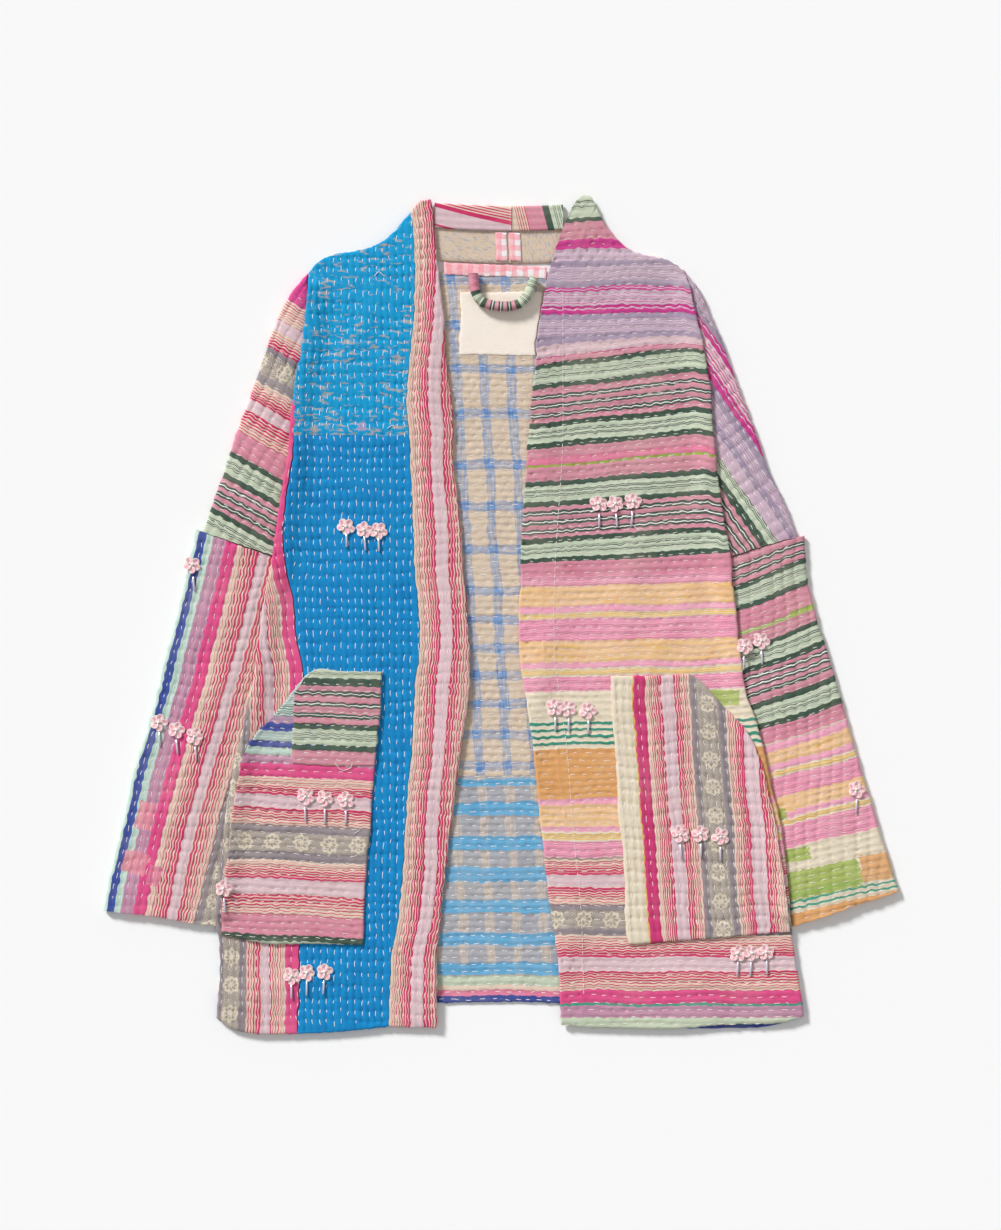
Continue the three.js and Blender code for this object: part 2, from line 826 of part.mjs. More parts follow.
function buildNeck(add) {
  add("collar_left", "beige", collarHalf(COLLAR.left, COLLAR.middle - SEAM_GAP / 2));
  add("collar_right", "mint", collarHalf(COLLAR.middle + SEAM_GAP / 2, COLLAR.right));
  const tapeTop = level(NECK_TAPE.left, NECK_TAPE.right, NECK_TAPE.top, NECK_TAPE.slope, TAPE_STEP);
  const tapeFoot = tapeTop.map((p) => ({ x: p.x, y: p.y - NECK_TAPE.width }));
  add("neck_tape", "gingham", strip(tapeTop, tapeFoot, LABEL_FLOOR, TAPE_WALL));
  for (const tape of SEAM_TAPES) {
    const top = level(tape.x, tape.x + tape.width, TAPE_TOP - COLLAR_FOLD_DIP, 0, tape.width);
    const foot = top.map((p) => ({ x: p.x, y: TAPE_FOOT - COLLAR_FOLD_DIP }));
    add(tape.name, "gingham", strip(top, foot, COLLAR_FLOOR + COLLAR_WALL + LAYER_GAP, TAPE_WALL));
  }
  add("hang_loop", "rose", hangLoop());
  const labelWidth = LABEL.topRight - LABEL.left;
  const labelTop = level(LABEL.left, LABEL.topRight, LABEL.top, 0, labelWidth);
  const labelFoot = level(LABEL.left, LABEL.footRight, LABEL.foot, 0, labelWidth);
  add("label", "cream", strip(labelTop, labelFoot, LABEL_FLOOR, LABEL_WALL));
}

function build() {
  const jacket = new THREE.Group();
  jacket.name = "quilted_jacket";
  const add = (name, material, skin) => jacket.add(skin.mesh(name, MATERIALS[material]));
  buildBody(add);
  buildPockets(add);
  buildSleeves(add);
  buildNeck(add);
  const box = new THREE.Box3().setFromObject(jacket);
  const centre = box.getCenter(new THREE.Vector3());
  for (const piece of jacket.children) piece.geometry.translate(-centre.x, -centre.y, -box.min.z);
  return jacket;
}

export default build();
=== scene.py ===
"""A hand-quilted patchwork jacket laid flat on its back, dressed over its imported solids.

Every cloth piece is a thin closed shell in the place of its solid. Its grid carries real quilting:
rows of running stitches pull the cloth down and it swells between them. Cut places are in
millimetres, x to the right and y up as the jacket is seen from above, and left and right in
names are meant so too; everything else is in metres.
"""
import math
import bpy
import numpy as np
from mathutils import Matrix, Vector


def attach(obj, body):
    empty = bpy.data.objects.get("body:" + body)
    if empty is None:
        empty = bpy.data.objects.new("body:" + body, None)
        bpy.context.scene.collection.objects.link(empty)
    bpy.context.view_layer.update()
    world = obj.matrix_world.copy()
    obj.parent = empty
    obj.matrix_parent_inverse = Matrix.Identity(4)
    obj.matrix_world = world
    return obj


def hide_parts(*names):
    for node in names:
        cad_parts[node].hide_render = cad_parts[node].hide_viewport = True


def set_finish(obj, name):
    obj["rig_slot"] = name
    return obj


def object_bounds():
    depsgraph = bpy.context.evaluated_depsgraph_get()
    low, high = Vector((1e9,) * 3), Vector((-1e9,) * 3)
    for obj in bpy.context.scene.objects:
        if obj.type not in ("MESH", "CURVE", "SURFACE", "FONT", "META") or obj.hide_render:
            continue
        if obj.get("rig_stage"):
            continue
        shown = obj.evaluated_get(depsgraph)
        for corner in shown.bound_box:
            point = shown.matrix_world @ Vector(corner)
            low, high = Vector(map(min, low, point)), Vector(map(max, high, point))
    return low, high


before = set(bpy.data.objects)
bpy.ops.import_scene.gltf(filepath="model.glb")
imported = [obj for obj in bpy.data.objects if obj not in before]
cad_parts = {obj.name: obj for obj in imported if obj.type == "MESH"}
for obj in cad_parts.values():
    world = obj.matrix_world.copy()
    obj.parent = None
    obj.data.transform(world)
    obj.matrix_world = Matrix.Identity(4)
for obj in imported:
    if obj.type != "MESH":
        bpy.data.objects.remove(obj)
CAD_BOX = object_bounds()

MM = 0.001
CUT_CENTRE = (0.5, -1.27)  # centre of the cut, which the solids have at their origin
BODY = "root"
SEED = 7

# Cloth and layers, as in the solids
WALL = 2.6
FRONT_FLOOR = 2.9
LOOP_FLOOR = 4.2
POCKET_FLOOR = 5.8
POCKET_WALL = 2.4
BAND_WALL = 3.3
BAND_RISE = 0.12  # the right band lies this much over the front at their seam
PATCH_WALL = 0.9
TAPE_WALL = 1.0
LABEL_WALL = 0.9
SLEEVE_HEIGHT = 5.6
SLEEVE_WALL = 2.1
CUFF_HEIGHT = 6.0
CELL = 1.7
HIDDEN_CELL = 6.0
UNDER_EDGE = 18  # grid lines over which a cloth's plain underside stays fine at its edges
UNDER_NEAR = 3  # it keeps every third line there
UNDER_WIDE = 12  # and every twelfth in between
EDGE_STEPS = (0.0, 0.35, 0.9, 1.7, 2.8)  # grid lines that round a cloth's edge
SEAM_ROLL = 1.0  # and how far in a sewn edge is rounded
OVERLAP = 4.0  # the fronts' side edges lie this far over the sleeves
ROLL_LIFT = 4.0
ROLL_WIDTH = 22.0
SEAM_BASE, EDGE_BASE = 0.93, 0.45  # share of the wall that stands upright at a seam and at a free edge
LEAST_LIFT = 0.35  # a front's swell is at least this high

# Quilting
ROW_PITCH = 6.4
STITCH_PITCH = 10.8
STITCH_LENGTH = 4.6
THREAD_RADIUS = 0.3
MOST_CELLS = 9  # a stitch over more of the grid than this would bridge a gap in the cloth
ROW_DEPTH = 0.6
PLEAT_DEPTH = 1.3
SWELL = 0.4
FLAT_EDGE, FLAT_FOLD = 3.5, 4.0  # the relief grows from nothing over this much, at an edge and at a fold
STITCH_SINK, STITCH_RISE = 0.2, 0.4  # ends of a stitch below the cloth, and its middle above
THREAD_SIDES = 5
STRIPE_WAVE = 0.35  # the stripes waver where the stitches draw the cloth up
STRIPE_DRIFT = 0.6  # and drift this far to either side along the cloth

ARMHOLE_L = [(-176, 315), (-174, 290), (-180, 244), (-187, 196), (-195, 122), (-206, 55)]
SIDE_L = [(-206, 55), (-214, 10), (-225, -70), (-241, -138), (-254, -229), (-258, -300), (-261, -371)]
SHOULDER_L = [(-176, 315), (-161, 328), (-124, 337), (-103, 348), (-83, 370)]
BAND_SEAM_L = [
    (-83, 370), (-79, 335), (-79, 298), (-86, 197), (-84, 160), (-79, 50),
    (-75, -21), (-80, -93), (-88, -200), (-93, -274), (-101, -315), (-102, -379),
]
OPENING_L = [
    (-64, 382), (-59, 336), (-49, 238), (-40, 110), (-30, -5),
    (-28, -42), (-31, -88), (-46, -198), (-57, -300), (-59, -380),
]
ARMHOLE_R = [(169, 317), (173, 301), (187, 218), (192, 165), (199, 102), (208, 48)]
SIDE_R = [(208, 48), (212, 5), (221, -66), (241, -138), (256, -211), (268, -290), (279, -370)]
HEM_R = [(76, -379), (128, -382), (203, -378), (262, -375), (279, -370)]
SHOULDER_R = [(169, 317), (154, 326), (119, 336), (99, 355), (88, 376)]
BAND_SEAM_R = [
    (88, 376), (76, 345), (63, 298), (53, 226), (46, 153), (39, 38),
    (40, -37), (53, -124), (60, -200), (69, -272), (76, -330), (76, -379),
]
OPENING_R = [
    (62, 365), (52, 340), (43, 310), (31, 225), (25, 153), (18, 38),
    (18, -37), (30, -123), (37, -197), (46, -270), (54, -335), (56, -377),
]
BACK_TOP = [
    (-176, 315), (-161, 328), (-124, 336), (-107, 339), (-74.5, 318), (0, 316),
    (71.5, 318), (101, 341), (119, 335), (154, 326), (169, 317),
]
BACK_HEM = [
    (-261, -371), (-180, -376), (-60, -358), (0, -357), (60, -358), (120, -376), (240, -380), (279, -370),
]
SLEEVE_L = [(-176, 315), (-196, 290), (-215, 244), (-235, 188), (-254, 133), (-274, 77)]
SLEEVE_R = [(169, 317), (184, 297), (206, 244), (227, 188), (247, 133), (273, 72)]
CUFF_L = [(-280, 78.4), (-286, 50), (-313, -60), (-343, -170), (-366, -272)]
CUFF_R = [(279, 73), (285, 22), (308, -60), (340, -170), (367, -254)]
SIDE_SEAM = [
    (-187, 197), (-191, 150), (-198, 92), (-200, 66), (-197, 36),
    (-190, 15), (-187, -19), (-182, -65), (-184, -200), (-186, -386),
]
BODY_L = ARMHOLE_L + SIDE_L[1:]
BODY_R = ARMHOLE_R + SIDE_R[1:]
CUFF_END = -288
SLEEVE_GAP = 0.6
CROSS_SEAM_L = [(-274, 76.6), (-206.6, 52.6)]
CROSS_SEAM_R = [(208.6, 52.6), (273, 71.8)]
POCKET_L = {
    "top": [(-239, -138), (-230, -117), (-201, -84), (-173, -51), (-140, -52), (-109, -53)],
    "right": [(-109, -53), (-112, -108), (-119, -182), (-124, -250), (-127, -303)],
    "bottom": [(-256, -295), (-210, -302), (-163, -303), (-127, -303)],
    "left": [(-239, -138), (-246, -185), (-252, -229), (-256, -295)],
}
POCKET_R = {
    "top": [(101, -57), (156, -56), (172, -54), (217, -97), (233, -120), (243, -146)],
    "right": [(243, -146), (250, -179), (260, -240), (266, -291)],
    "bottom": [(117, -302), (150, -301), (210, -296), (266, -291)],
    "left": [(101, -57), (106, -146), (111, -205), (117, -302)],
}
POCKET_PATCH = {
    "top": [(-190, -73), (-173, -51), (-140, -52), (-109, -53)],
    "right": [(-109, -53), (-112, -100), (-115, -138)],
    "bottom": [(-191, -137), (-150, -139), (-115, -138)],
    "left": [(-190, -73), (-190, -105), (-191, -137)],
}
COLLAR = {"left": -60.5, "middle": 10, "right": 57.5, "foot": 326, "fold": 379, "lip": 356, "dip": 3}
OPENING_SPAN = (-92, 74)
BACK_SHOWN = (0.22, 0.72)  # the part of the back's width that shows in the opening
NECK_TAPE = {"left": -52, "right": 42, "top": 324, "width": 11, "slope": -0.05}
SEAM_TAPES = {"collar_tape_left": -4, "collar_tape_right": 8}
TAPE_FLOOR = 2.35
TAPE_SIZE = {"width": 10, "top": 351, "foot": 325}
LOOP_PATH = [(-25, 313), (-24, 300), (-20, 290), (-12, 285), (8, 283), (18, 286), (24, 292), (31.5, 309)]
LABEL = {"left": -37, "top_right": 39, "foot_right": 31.5, "top": 296.5, "foot": 239}

# Dyes, as screen colours
DYES = {
    "blue": "0080C0", "worn_blue": "0496CC", "mint": "C0CAB3", "ink": "4A5450", "dark_green": "43574A",
    "rose": "CC8C9A", "pink": "D97C98", "light_pink": "E6A2B8", "hot_pink": "D94F86", "red": "C63464",
    "pale": "D6BAC0", "beige": "DCC4B2", "grey": "8E8488", "floral": "968C88", "navy": "3E4F97",
    "mauve_pink": "C888A2", "lilac": "C8AEBE", "mauve": "A290A6", "magenta": "C43C88", "slub": "E6BE98",
    "yellow": "DDB25A", "cream": "DFD2BB", "lime": "96AD45", "teal": "3E937E", "orange": "D89F66",
    "inner_beige": "D4C0AA", "inner_blue": "4A86C6", "turquoise": "3BA6D6", "grey_blue": "A6A6AC",
    "gingham_pink": "F2929E", "white": "F1EBEC", "label": "F4E9DC", "thread": "F6F3F0", "ecru": "EADFD2",
    "sequin": "EE889E", "pearl": "F8EDE8", "bead": "DCD6EA", "coral": "DC8A98", "darn": "A99BC0",
    "stone": "9A8C80", "sea_mint": "B6CDC2", "deep_pink": "C73A72", "band_blue": "6A92C2",
}

# Groups of stripes that many cloths share. A stripe is its width in mm and its dye, and a dye after a
# stroke is that of its fine lines. Graded stripes have lines that grow or thin out: their width, dyes,
# shares of the lines at the start and the end, and count; a blush grows and a fading thins out.
GROUPS = {
    "lines": "1.8 dark_green, 0.8 white, 1.8 dark_green",
    "rose_lines": "3.8 rose, lines, 3.8 rose, lines, 3.8 rose, lines",
    "mint_lines": "3.8 mint, 0.6 ink, 0.9 mint, 0.6 ink, 2 mint, 0.6 ink, 0.9 mint, 0.6 ink, 5 mint",
    "mint_band": "4.9 dark_green, mint_lines, 4.9 dark_green",
    "lilac_half": "5.5 mauve, 13 lilac/mauve, 5.5 mauve",
    "magenta_lines": "1.6 magenta, 0.8 lilac, 1.6 magenta",
}

# Each cloth's stripes, in the order in which they lie
GARDEN_CLOTH = (
    "mint_lines, 5 mint, 4 dark_green, 15.5 rose, 8.5 magenta, 11 lilac, lilac_half, magenta_lines, "
    "graded 14 lilac/magenta 0.1 0.35 5, magenta_lines, 2.5 magenta, lilac_half, 8.5 pale, "
    "0.8 magenta, 4.7 rose, mint_band, 1.7 rose, rose_lines, 4.5 rose, mint_band, 9 rose, 6.5 pink, "
    "2.2 lime, 12.8 rose, mint_band, rose_lines, 3.5 rose, mint_band, 14.5 rose/pink, "
    "8.5 light_pink/rose, 19 slub, 5.5 light_pink, 1.2 cream, 4 yellow/cream, 1.3 cream, "
    "19.5 light_pink/pink, 19.5 slub, 5.5 light_pink, 1.8 cream, 4.4 yellow/cream, 1.8 cream, "
    "14 light_pink/pink, 28 cream, 2.6 teal, 3.6 cream, 2.6 teal, 3.6 cream, 2.6 teal, 3.6 cream, "
    "2.6 teal, 3.6 cream, 46.4 orange, 5 light_pink, 20 slub, 5 light_pink, 1.8 cream, "
    "5 yellow/cream, 2 cream, 15.5 light_pink/pink, 1.6 stone, blush 14 6, 11 pale, fading 16.5 7, "
    "5.5 grey, 17 floral, 6 grey, blush 20 8, 13 pale, fading 18 8, 11.5 hot_pink, 2.3 teal, "
    "11 mauve_pink/mauve, 20 mint"
)
CUFF_CLOTH_R = (
    "6 rose, lines, 4.6 rose, lines, 4.8 rose, 4.9 dark_green, mint_lines, 4.9 dark_green, "
    "20.2 rose/pink, 3.5 lime/mint, 12.3 rose, 4.9 dark_green, mint_lines, 5.7 dark_green, 3.4 rose, "
    "lines, 3.6 rose, lines, 3.6 rose, lines, 6.9 rose, 5.7 dark_green, mint_lines, 5.7 dark_green, "
    "15.2 rose/pink, 1.4 cream, 7.3 light_pink, 12.6 slub, 5.7 light_pink, 1.5 cream, "
    "3.9 yellow/cream, 1.5 cream, 18.8 light_pink/pink, 15.5 slub, 5.1 light_pink, 1.6 cream, "
    "3.6 yellow/cream, 1.6 cream, 20.6 light_pink/pink, 43 cream, 2.6 teal, 3.6 cream, 2.6 teal, "
    "3.6 cream, 2.6 teal, 3.6 cream, 30 orange"
)
ROSE_CLOTH = (
    "31.5 magenta/hot_pink, graded 20 beige/red 0.4 0.15 8, 10.5 pale, blush 16 6, 6 grey, 18 floral, "
    "8.5 grey, blush 18 7, 9.5 pale, fading 21 8, 20 rose/pink, mint_band, rose_lines, 3.8 rose, "
    "4.9 dark_green, mint_lines, 20 mint"
)
SIDE_CLOTH = (
    "11.5 hot_pink, graded 14 beige/red 0.2 0.5 6, 8.5 pale, fading 14 6, 6.5 grey, 15 floral, "
    "6 grey, blush 16 7, 12 pale"
)
BAND_CLOTH = "blush 19 8, 11 pale, fading 19 8, 12 hot_pink"
CUFF_CLOTH_L = (
    "3 sea_mint, 6.6 navy, 6 sea_mint, 11.4 mauve_pink/mauve, 10.5 hot_pink, blush 18.4 7, 8.8 pale, "
    "fading 17 7, 6 grey, 16 floral, 7 grey, blush 17 7, 30 pale"
)
UPPER_CLOTH_R = (
    "5 lilac/mauve, 5.5 mauve, magenta_lines, 2 magenta, graded 13 pale/magenta 0.2 0.35 5, "
    "magenta_lines, 3.5 magenta, 6 mauve, 10.5 lilac/mauve, 6 mauve, 11 lilac, 0.7 ink, 1 mint, "
    "0.6 ink, 1 mint, 0.6 ink, 5.2 mint, 6.5 dark_green, rose_lines, 4 rose, lines, 4 rose, "
    "4.9 dark_green, mint_lines, 4.9 dark_green"
)
POCKET_CLOTH_L = (
    "29 sea_mint/grey_blue, 10.5 sea_mint/ink, 6.4 mauve/mauve_pink, 7.4 navy, "
    "9.2 sea_mint/grey_blue, 6.4 navy, 6.5 sea_mint, 8.3 mauve_pink/mauve, 11.9 hot_pink, "
    "blush 16.6 7, 11.9 pale, fading 15.7 7, 7.3 grey, 17.5 floral, 8.3 grey, blush 16.5 7, "
    "13.8 pale, fading 19.4 7, 18.4 rose/pink, 5.5 dark_green, 12 mint"
)
PATCH_CLOTH = (
    "1.5 mint, 0.6 ink, 0.9 mint, 0.6 ink, 4 mint, 7 dark_green, 5.2 rose, lines, 5.4 rose, lines, "
    "5.4 rose, lines, 5.4 rose, 5.5 dark_green, mint_lines, 5 dark_green, 12.5 rose, 8 lime/rose"
)
POCKET_CLOTH_R = (
    "19 cream, 1.3 yellow, 11 deep_pink, blush 14.5 7, 11.5 pale, fading 14.5 7, 6.5 grey, 19 floral, "
    "6.5 grey, blush 15 7, 12.5 pale, fading 15 7, 20 beige"
)
COLLAR_CLOTH_L = "graded 13 beige/red 0.35 0.6 5, 2.6 red, 15.4 pale, 2 red, 40 pale"
COLLAR_CLOTH_R = (
    "graded 11.6 beige/red 0.2 0.4 5, 16.3 rose/pink, 6 dark_green, 3.8 mint, 0.6 ink, 0.9 mint, "
    "0.6 ink, 2 mint, 0.6 ink, 0.9 mint, 0.6 ink, 1.5 mint, 5.5 dark_green, 3.5 rose, lines, lines, "
    "lines, lines"
)
LOOP_CLOTH = (
    "16 rose/pink, 4 dark_green, 3.8 mint, 0.6 ink, 0.9 mint, 0.6 ink, 2 mint, 4 dark_green, 4 rose, "
    "lines, 3.4 rose, lines, 3.4 rose, lines, 3.4 rose, 4 dark_green, mint_lines, mint_lines"
)
HEM_CLOTH = "4 mint, 5 mint/grey, 4 beige/red, 5 pink/mauve, 40 navy"
BLUE_ROWS = (10, 52, 92, 133, 180, 218, 258, 296, 323, 349, 374, 400, 429, 457)  # bands of the inside check
TURQUOISE_ROWS = ((469, 7), (491, 12), (522, 13), (551, 13), (580.5, 12), (611, 11), (638.5, 11))
SHADINGS = {"blush": (0.12, 0.85), "fading": (0.85, 0.12)}  # share of red at the start and the end
CHECK_PITCH = 25.0
CHECK_BAND = 8.6
CHECK_STEP = 466.0  # from here down the inside is cut from a greyer cloth
FINE_PITCH = 2.1  # from one fine woven line to the next
GINGHAM_PITCH = 10.0
FLOWER_PRINT, FLOWER_PITCH = 15.0, 26.0
HEM_START = 650.6
STREAKS = [(0.36, (0.25, 0.25, 0.25, 1)), (0.56, (1, 1, 1, 1))]  # threads that show in a woven band
YOKE = 153.0  # the blue front is worn down to here, counted down from its shoulder
RUBBED = 105.0  # and most from here down
DARN = (-127.4, 172.5, 4, 3.5, 8, "darn")

# Worn-through or patched places: centre, half size and turn in degrees of each, and its dye
FRONT_PATCHES = [(206, -76.4, 13, 7, 0, "lime")]
CUFF_PATCHES_R = [
    (257, -184, 6, 5.5, 10, "lime"), (270.5, -221, 14, 6, 10, "lime"), (296, -244, 36, 13, 12, "lime"),
    (345.6, -232, 14.5, 12, 9, "orange"), (277, 3.5, 13, 2.6, 20, "lime"),
]
CUFF_PATCHES_L = [
    (-326, -185, 8, 13, -15, "coral"), (-336, -228, 11, 10, -15, "coral"), (-318, -240, 6, 9, -15, "pink"),
]

# Climb of the stripes at heights y: the right front's and the right lower sleeve's
GARDEN_TILT = ([-300, -73, 36, 63, 124, 175, 240, 262], [0, 0.02, 0.026, 0.07, 0.08, 0.10, 0.13, 0.02])
SLEEVE_TILT = ([-270, -236, -185, -133, -94, 16], [0.24, 0.2, 0.25, 0.27, 0.34, 0.37])

# Sequin flowers: place of the flower, and the length of its bead stem below it
FLOWERS = [
    (-142, 81, 17), (-125.5, 78, 17), (-112, 77, 17), (90, 102, 20), (105.5, 102, 20), (122, 104, 20),
    (50, -85, 20), (62, -86, 20), (80.5, -88, 20), (165, -202, 20), (183.5, -201, 20), (202, -204, 20),
    (218, -311, 19), (231, -311, 19), (244, -310, 19), (224, -29, 20), (239.5, -24, 20), (327, -160.5, 20),
    (-179, -167, 21), (-161, -169, 21), (-142, -170, 21), (-254, -251, 20), (-314, -99, 20),
    (-297.5, -106, 20), (-281, -112, 20), (-283, 46, 22), (-192, -332, 19), (-178, -329, 19),
    (-161.5, -328, 19),
]
PETALS = 5
PETAL_SIZE = 7.2
FLOWER_RING = 4.4
PETAL_TIP = 13.0
STEM_RADIUS = 0.95
RIGHT_TOPSTITCH = [
    (57.5, 301), (57.5, 226), (57, 153), (50, 38), (50, -37), (61, -124), (67, -200), (74, -272),
    (76.8, -355),
]
LOOSE_THREADS = [
    [(-116, 311), (-112, 315), (-107, 311)], [(-104, 171), (-99, 174), (-97, 171)],
    [(120, 84), (124, 80), (127, 77)], [(-152, -136), (-146, -143), (-138, -141), (-136, -137)],
    [(-134, -201), (-129, -198)],
]

# Lamps: place in metres, strength and softness in degrees
LAMPS = {"key": ((-1.7, 2.0, 1.45), 3.7, 12), "fill": ((1.8, -0.6, 2.6), 0.25, 60)}
SKY_STRENGTH = 0.38
FLOOR_TONE = 0.93
FLOOR_SIZE = 6.0

# Soft swells that lift the fronts off the back: x, y, length, width, turn in degrees, height
SWELLS = [
    (-60, 230, 220, 22, 92, 1.6), (-45, -60, 240, 24, 88, 2.2), (-70, -330, 120, 26, 95, 1.8),
    (38, 180, 260, 20, 96, 1.8), (34, -80, 200, 22, 84, 2.4), (60, -300, 160, 24, 82, 2.0),
    (-140, 250, 130, 18, 60, 1.1), (-130, 20, 200, 26, 100, 1.3), (-200, -345, 120, 20, 10, 1.6),
    (140, 260, 120, 18, 118, 1.2), (120, 20, 190, 26, 78, 1.4), (190, -340, 150, 20, -8, 1.7),
    (-190, 130, 110, 12, 104, 1.4), (190, 120, 110, 12, 78, 1.4), (150, -20, 160, 18, 60, 1.0),
]


def curve(places, shares):
    """Points of a smooth line through places, at shares of its length."""
    p = np.asarray(places, float)
    p = np.vstack([2 * p[0] - p[1], p, 2 * p[-1] - p[-2]])
    dense = []
    for a, b, c, d in zip(p[:-3], p[1:-2], p[2:-1], p[3:]):
        steps = [math.sqrt(max(np.linalg.norm(q - r), 1e-4)) for q, r in ((b, a), (c, b), (d, c))]
        knots = np.cumsum([0.0] + steps)
        t = np.linspace(knots[1], knots[2], 40, endpoint=False)[:, None]

        def mix(q, r, i, j):
            return (knots[j] - t) / (knots[j] - knots[i]) * q + (t - knots[i]) / (knots[j] - knots[i]) * r

        ab, bc, cd = mix(a, b, 0, 1), mix(b, c, 1, 2), mix(c, d, 2, 3)
        abc, bcd = mix(ab, bc, 0, 2), mix(bc, cd, 1, 3)
        dense.append(mix(abc, bcd, 1, 2))
    dense = np.vstack(dense + [p[-2:-1]])
    run = np.concatenate([[0], np.cumsum(np.linalg.norm(np.diff(dense, axis=0), axis=1))])
    at = np.asarray(shares) * run[-1]
    return np.column_stack([np.interp(at, run, dense[:, 0]), np.interp(at, run, dense[:, 1])])


def length(places):
    points = curve(places, np.linspace(0, 1, 200))
    return float(np.linalg.norm(np.diff(points, axis=0), axis=1).sum())


def stretch(places, top, foot):
    """The part of a downward line between two heights."""
    points = curve(places, np.linspace(0, 1, 400))
    inside = points[(points[:, 1] <= top) & (points[:, 1] >= foot)]
    return [tuple(q) for q in inside[:: max(1, len(inside) // 12)]] + [tuple(inside[-1])]


def shares_of(size, shown=None):
    """Shares along an edge: close at both ends, a cell apart between, wider where it never shows."""
    margin = EDGE_STEPS[-1]
    changes = [] if shown is None else [shown[0] * size, shown[1] * size]
    stops = [margin, *changes, size - margin]
    cells = [CELL] if shown is None else [HIDDEN_CELL, CELL, HIDDEN_CELL]
    middle = []
    for start, end, step in zip(stops[:-1], stops[1:], cells):
        count = max(2, round((end - start) / step))
        middle.extend(np.linspace(start, end, count + 1)[1:])
    middle = np.array(middle[:-1])
    ends = np.asarray(EDGE_STEPS)
    return np.concatenate([ends, middle, size - ends[::-1]]) / size


def fill(top, bottom, left, right, u, v):
    """A grid of points between four edges that share their corners."""
    left, right = curve(left, v), curve(right, v)
    u_, v_ = u[None, :, None], v[:, None, None]
    top, bottom = curve(top, u), curve(bottom, u)
    top = top + (1 - u[:, None]) * (left[0] - top[0]) + u[:, None] * (right[0] - top[-1])
    bottom = bottom + (1 - u[:, None]) * (left[-1] - bottom[0]) + u[:, None] * (right[-1] - bottom[-1])
    across = (1 - u_) * left[:, None] + u_ * right[:, None]
    down = (1 - v_) * top[None] + v_ * bottom[None]
    corners = (1 - u_) * ((1 - v_) * top[0] + v_ * bottom[0]) + u_ * ((1 - v_) * top[-1] + v_ * bottom[-1])
    return across + down - corners


def body_line(places):
    """A side edge as heights, rising, and the place of the edge at each."""
    line = curve(places, np.linspace(0, 1, 300))[::-1]
    return line[:, 1], line[:, 0]


def over_sleeve(y, top_run, foot_run):
    """1 where the front's side edge lies on the sleeve, and 0 past its ends."""
    return np.clip((313 - y) / top_run, 0, 1) * np.clip((y - CUFF_END - 4) / foot_run, 0, 1)


def overlapped(places, side):
    """A side edge moved out over the sleeve."""
    return [(x + side * OVERLAP * float(over_sleeve(y, 30, 16)), y) for x, y in places]


def roll(x, y):
    """How far the fronts are lifted at their side edges, where they lie on the sleeves."""
    inside = np.minimum(x - np.interp(y, *body_line(BODY_L)), np.interp(y, *body_line(BODY_R)) - x)
    part = np.clip(1 - inside / ROLL_WIDTH, 0, 1)
    return ROLL_LIFT * over_sleeve(y, 10, 8) * part * part * (3 - 2 * part)


def wobble(x, y):
    """Hand-sewn cloth is nowhere quite straight."""
    dx = 0.35 * waves(x, y, 6, 105) + 0.45 * waves(x, y, 12, 101) + 0.9 * waves(x, y, 60, 102)
    dy = 0.35 * waves(x, y, 6, 106) + 0.45 * waves(x, y, 12, 103) + 0.9 * waves(x, y, 60, 104)
    return x + dx, y + dy


def waves(x, y, size, seed, count=6):
    """Smooth unevenness from -1 to 1, with waves of about that size in mm."""
    rng = np.random.default_rng(SEED + seed)
    total = np.zeros_like(x, float)
    draws = rng.uniform(0, math.pi, count), rng.uniform(0.7, 1.5, count), rng.uniform(0, 7, count)
    for turn, scale, shift in zip(*draws):
        total += np.sin((x * math.cos(turn) + y * math.sin(turn)) * 2 * math.pi / (size * scale) + shift)
    return total / (count * 0.6)


def billow(x, y):
    """How far the fronts lift off the back."""
    lift = 0.5 + 0.35 * waves(x, y, 110, 1)
    for cx, cy, long, wide, turn, height in SWELLS:
        c, s = math.cos(math.radians(turn)), math.sin(math.radians(turn))
        along, aside = (x - cx) * c + (y - cy) * s, (y - cy) * c - (x - cx) * s
        bend = 4 * np.sin(along / 40 + cx)
        lift = lift + height * np.exp(-((along / (long * 0.4)) ** 2) - ((aside - bend) / (wide * 0.6)) ** 2)
    return np.maximum(lift, LEAST_LIFT) + roll(x, y)


def row_drift(x, y, seed):
    """Hand-sewn rows wander a little."""
    return 0.7 * waves(x, y, 46, seed)


def stitch_phase(x, y, along, row, seed, stagger):
    """Where along its row a place lies, counted in stitches."""
    drift = 0.3 * waves(x, y, 80, seed + 5) + 0.06 * waves(x, y, 18, seed + 6)
    return along / STITCH_PITCH + stagger * 0.5 * (row % 2) + drift


def quilting(x, y, along, across, seed, stagger):
    """How far the cloth is drawn down: rows of stitches, and pleats square to them."""
    place = (across + row_drift(x, y, seed)) / ROW_PITCH
    off = place - np.round(place)
    groove = np.exp(-((off / 0.17) ** 2))
    near = groove if stagger else 0.55 + 0.45 * groove
    phase = stitch_phase(x, y, along, np.round(place), seed, stagger)
    valley = (1 - np.abs(np.sin(math.pi * phase))) ** 2.2
    strength = np.clip(0.95 + 0.45 * waves(x, y, 38, seed + 3), 0.4, 1.25)
    return -strength * (ROW_DEPTH * groove + PLEAT_DEPTH * valley * near)


def in_metres(points):
    """Places of the cut as places in the frame."""
    return (np.asarray(points, float) - [*CUT_CENTRE, 0]) * MM


def add(name, data):
    """An object in the scene for a mesh, a lamp or a camera."""
    thing = bpy.data.objects.new(name, data)
    bpy.context.scene.collection.objects.link(thing)
    return thing


def smooth(mesh):
    mesh.polygons.foreach_set("use_smooth", [True] * len(mesh.polygons))


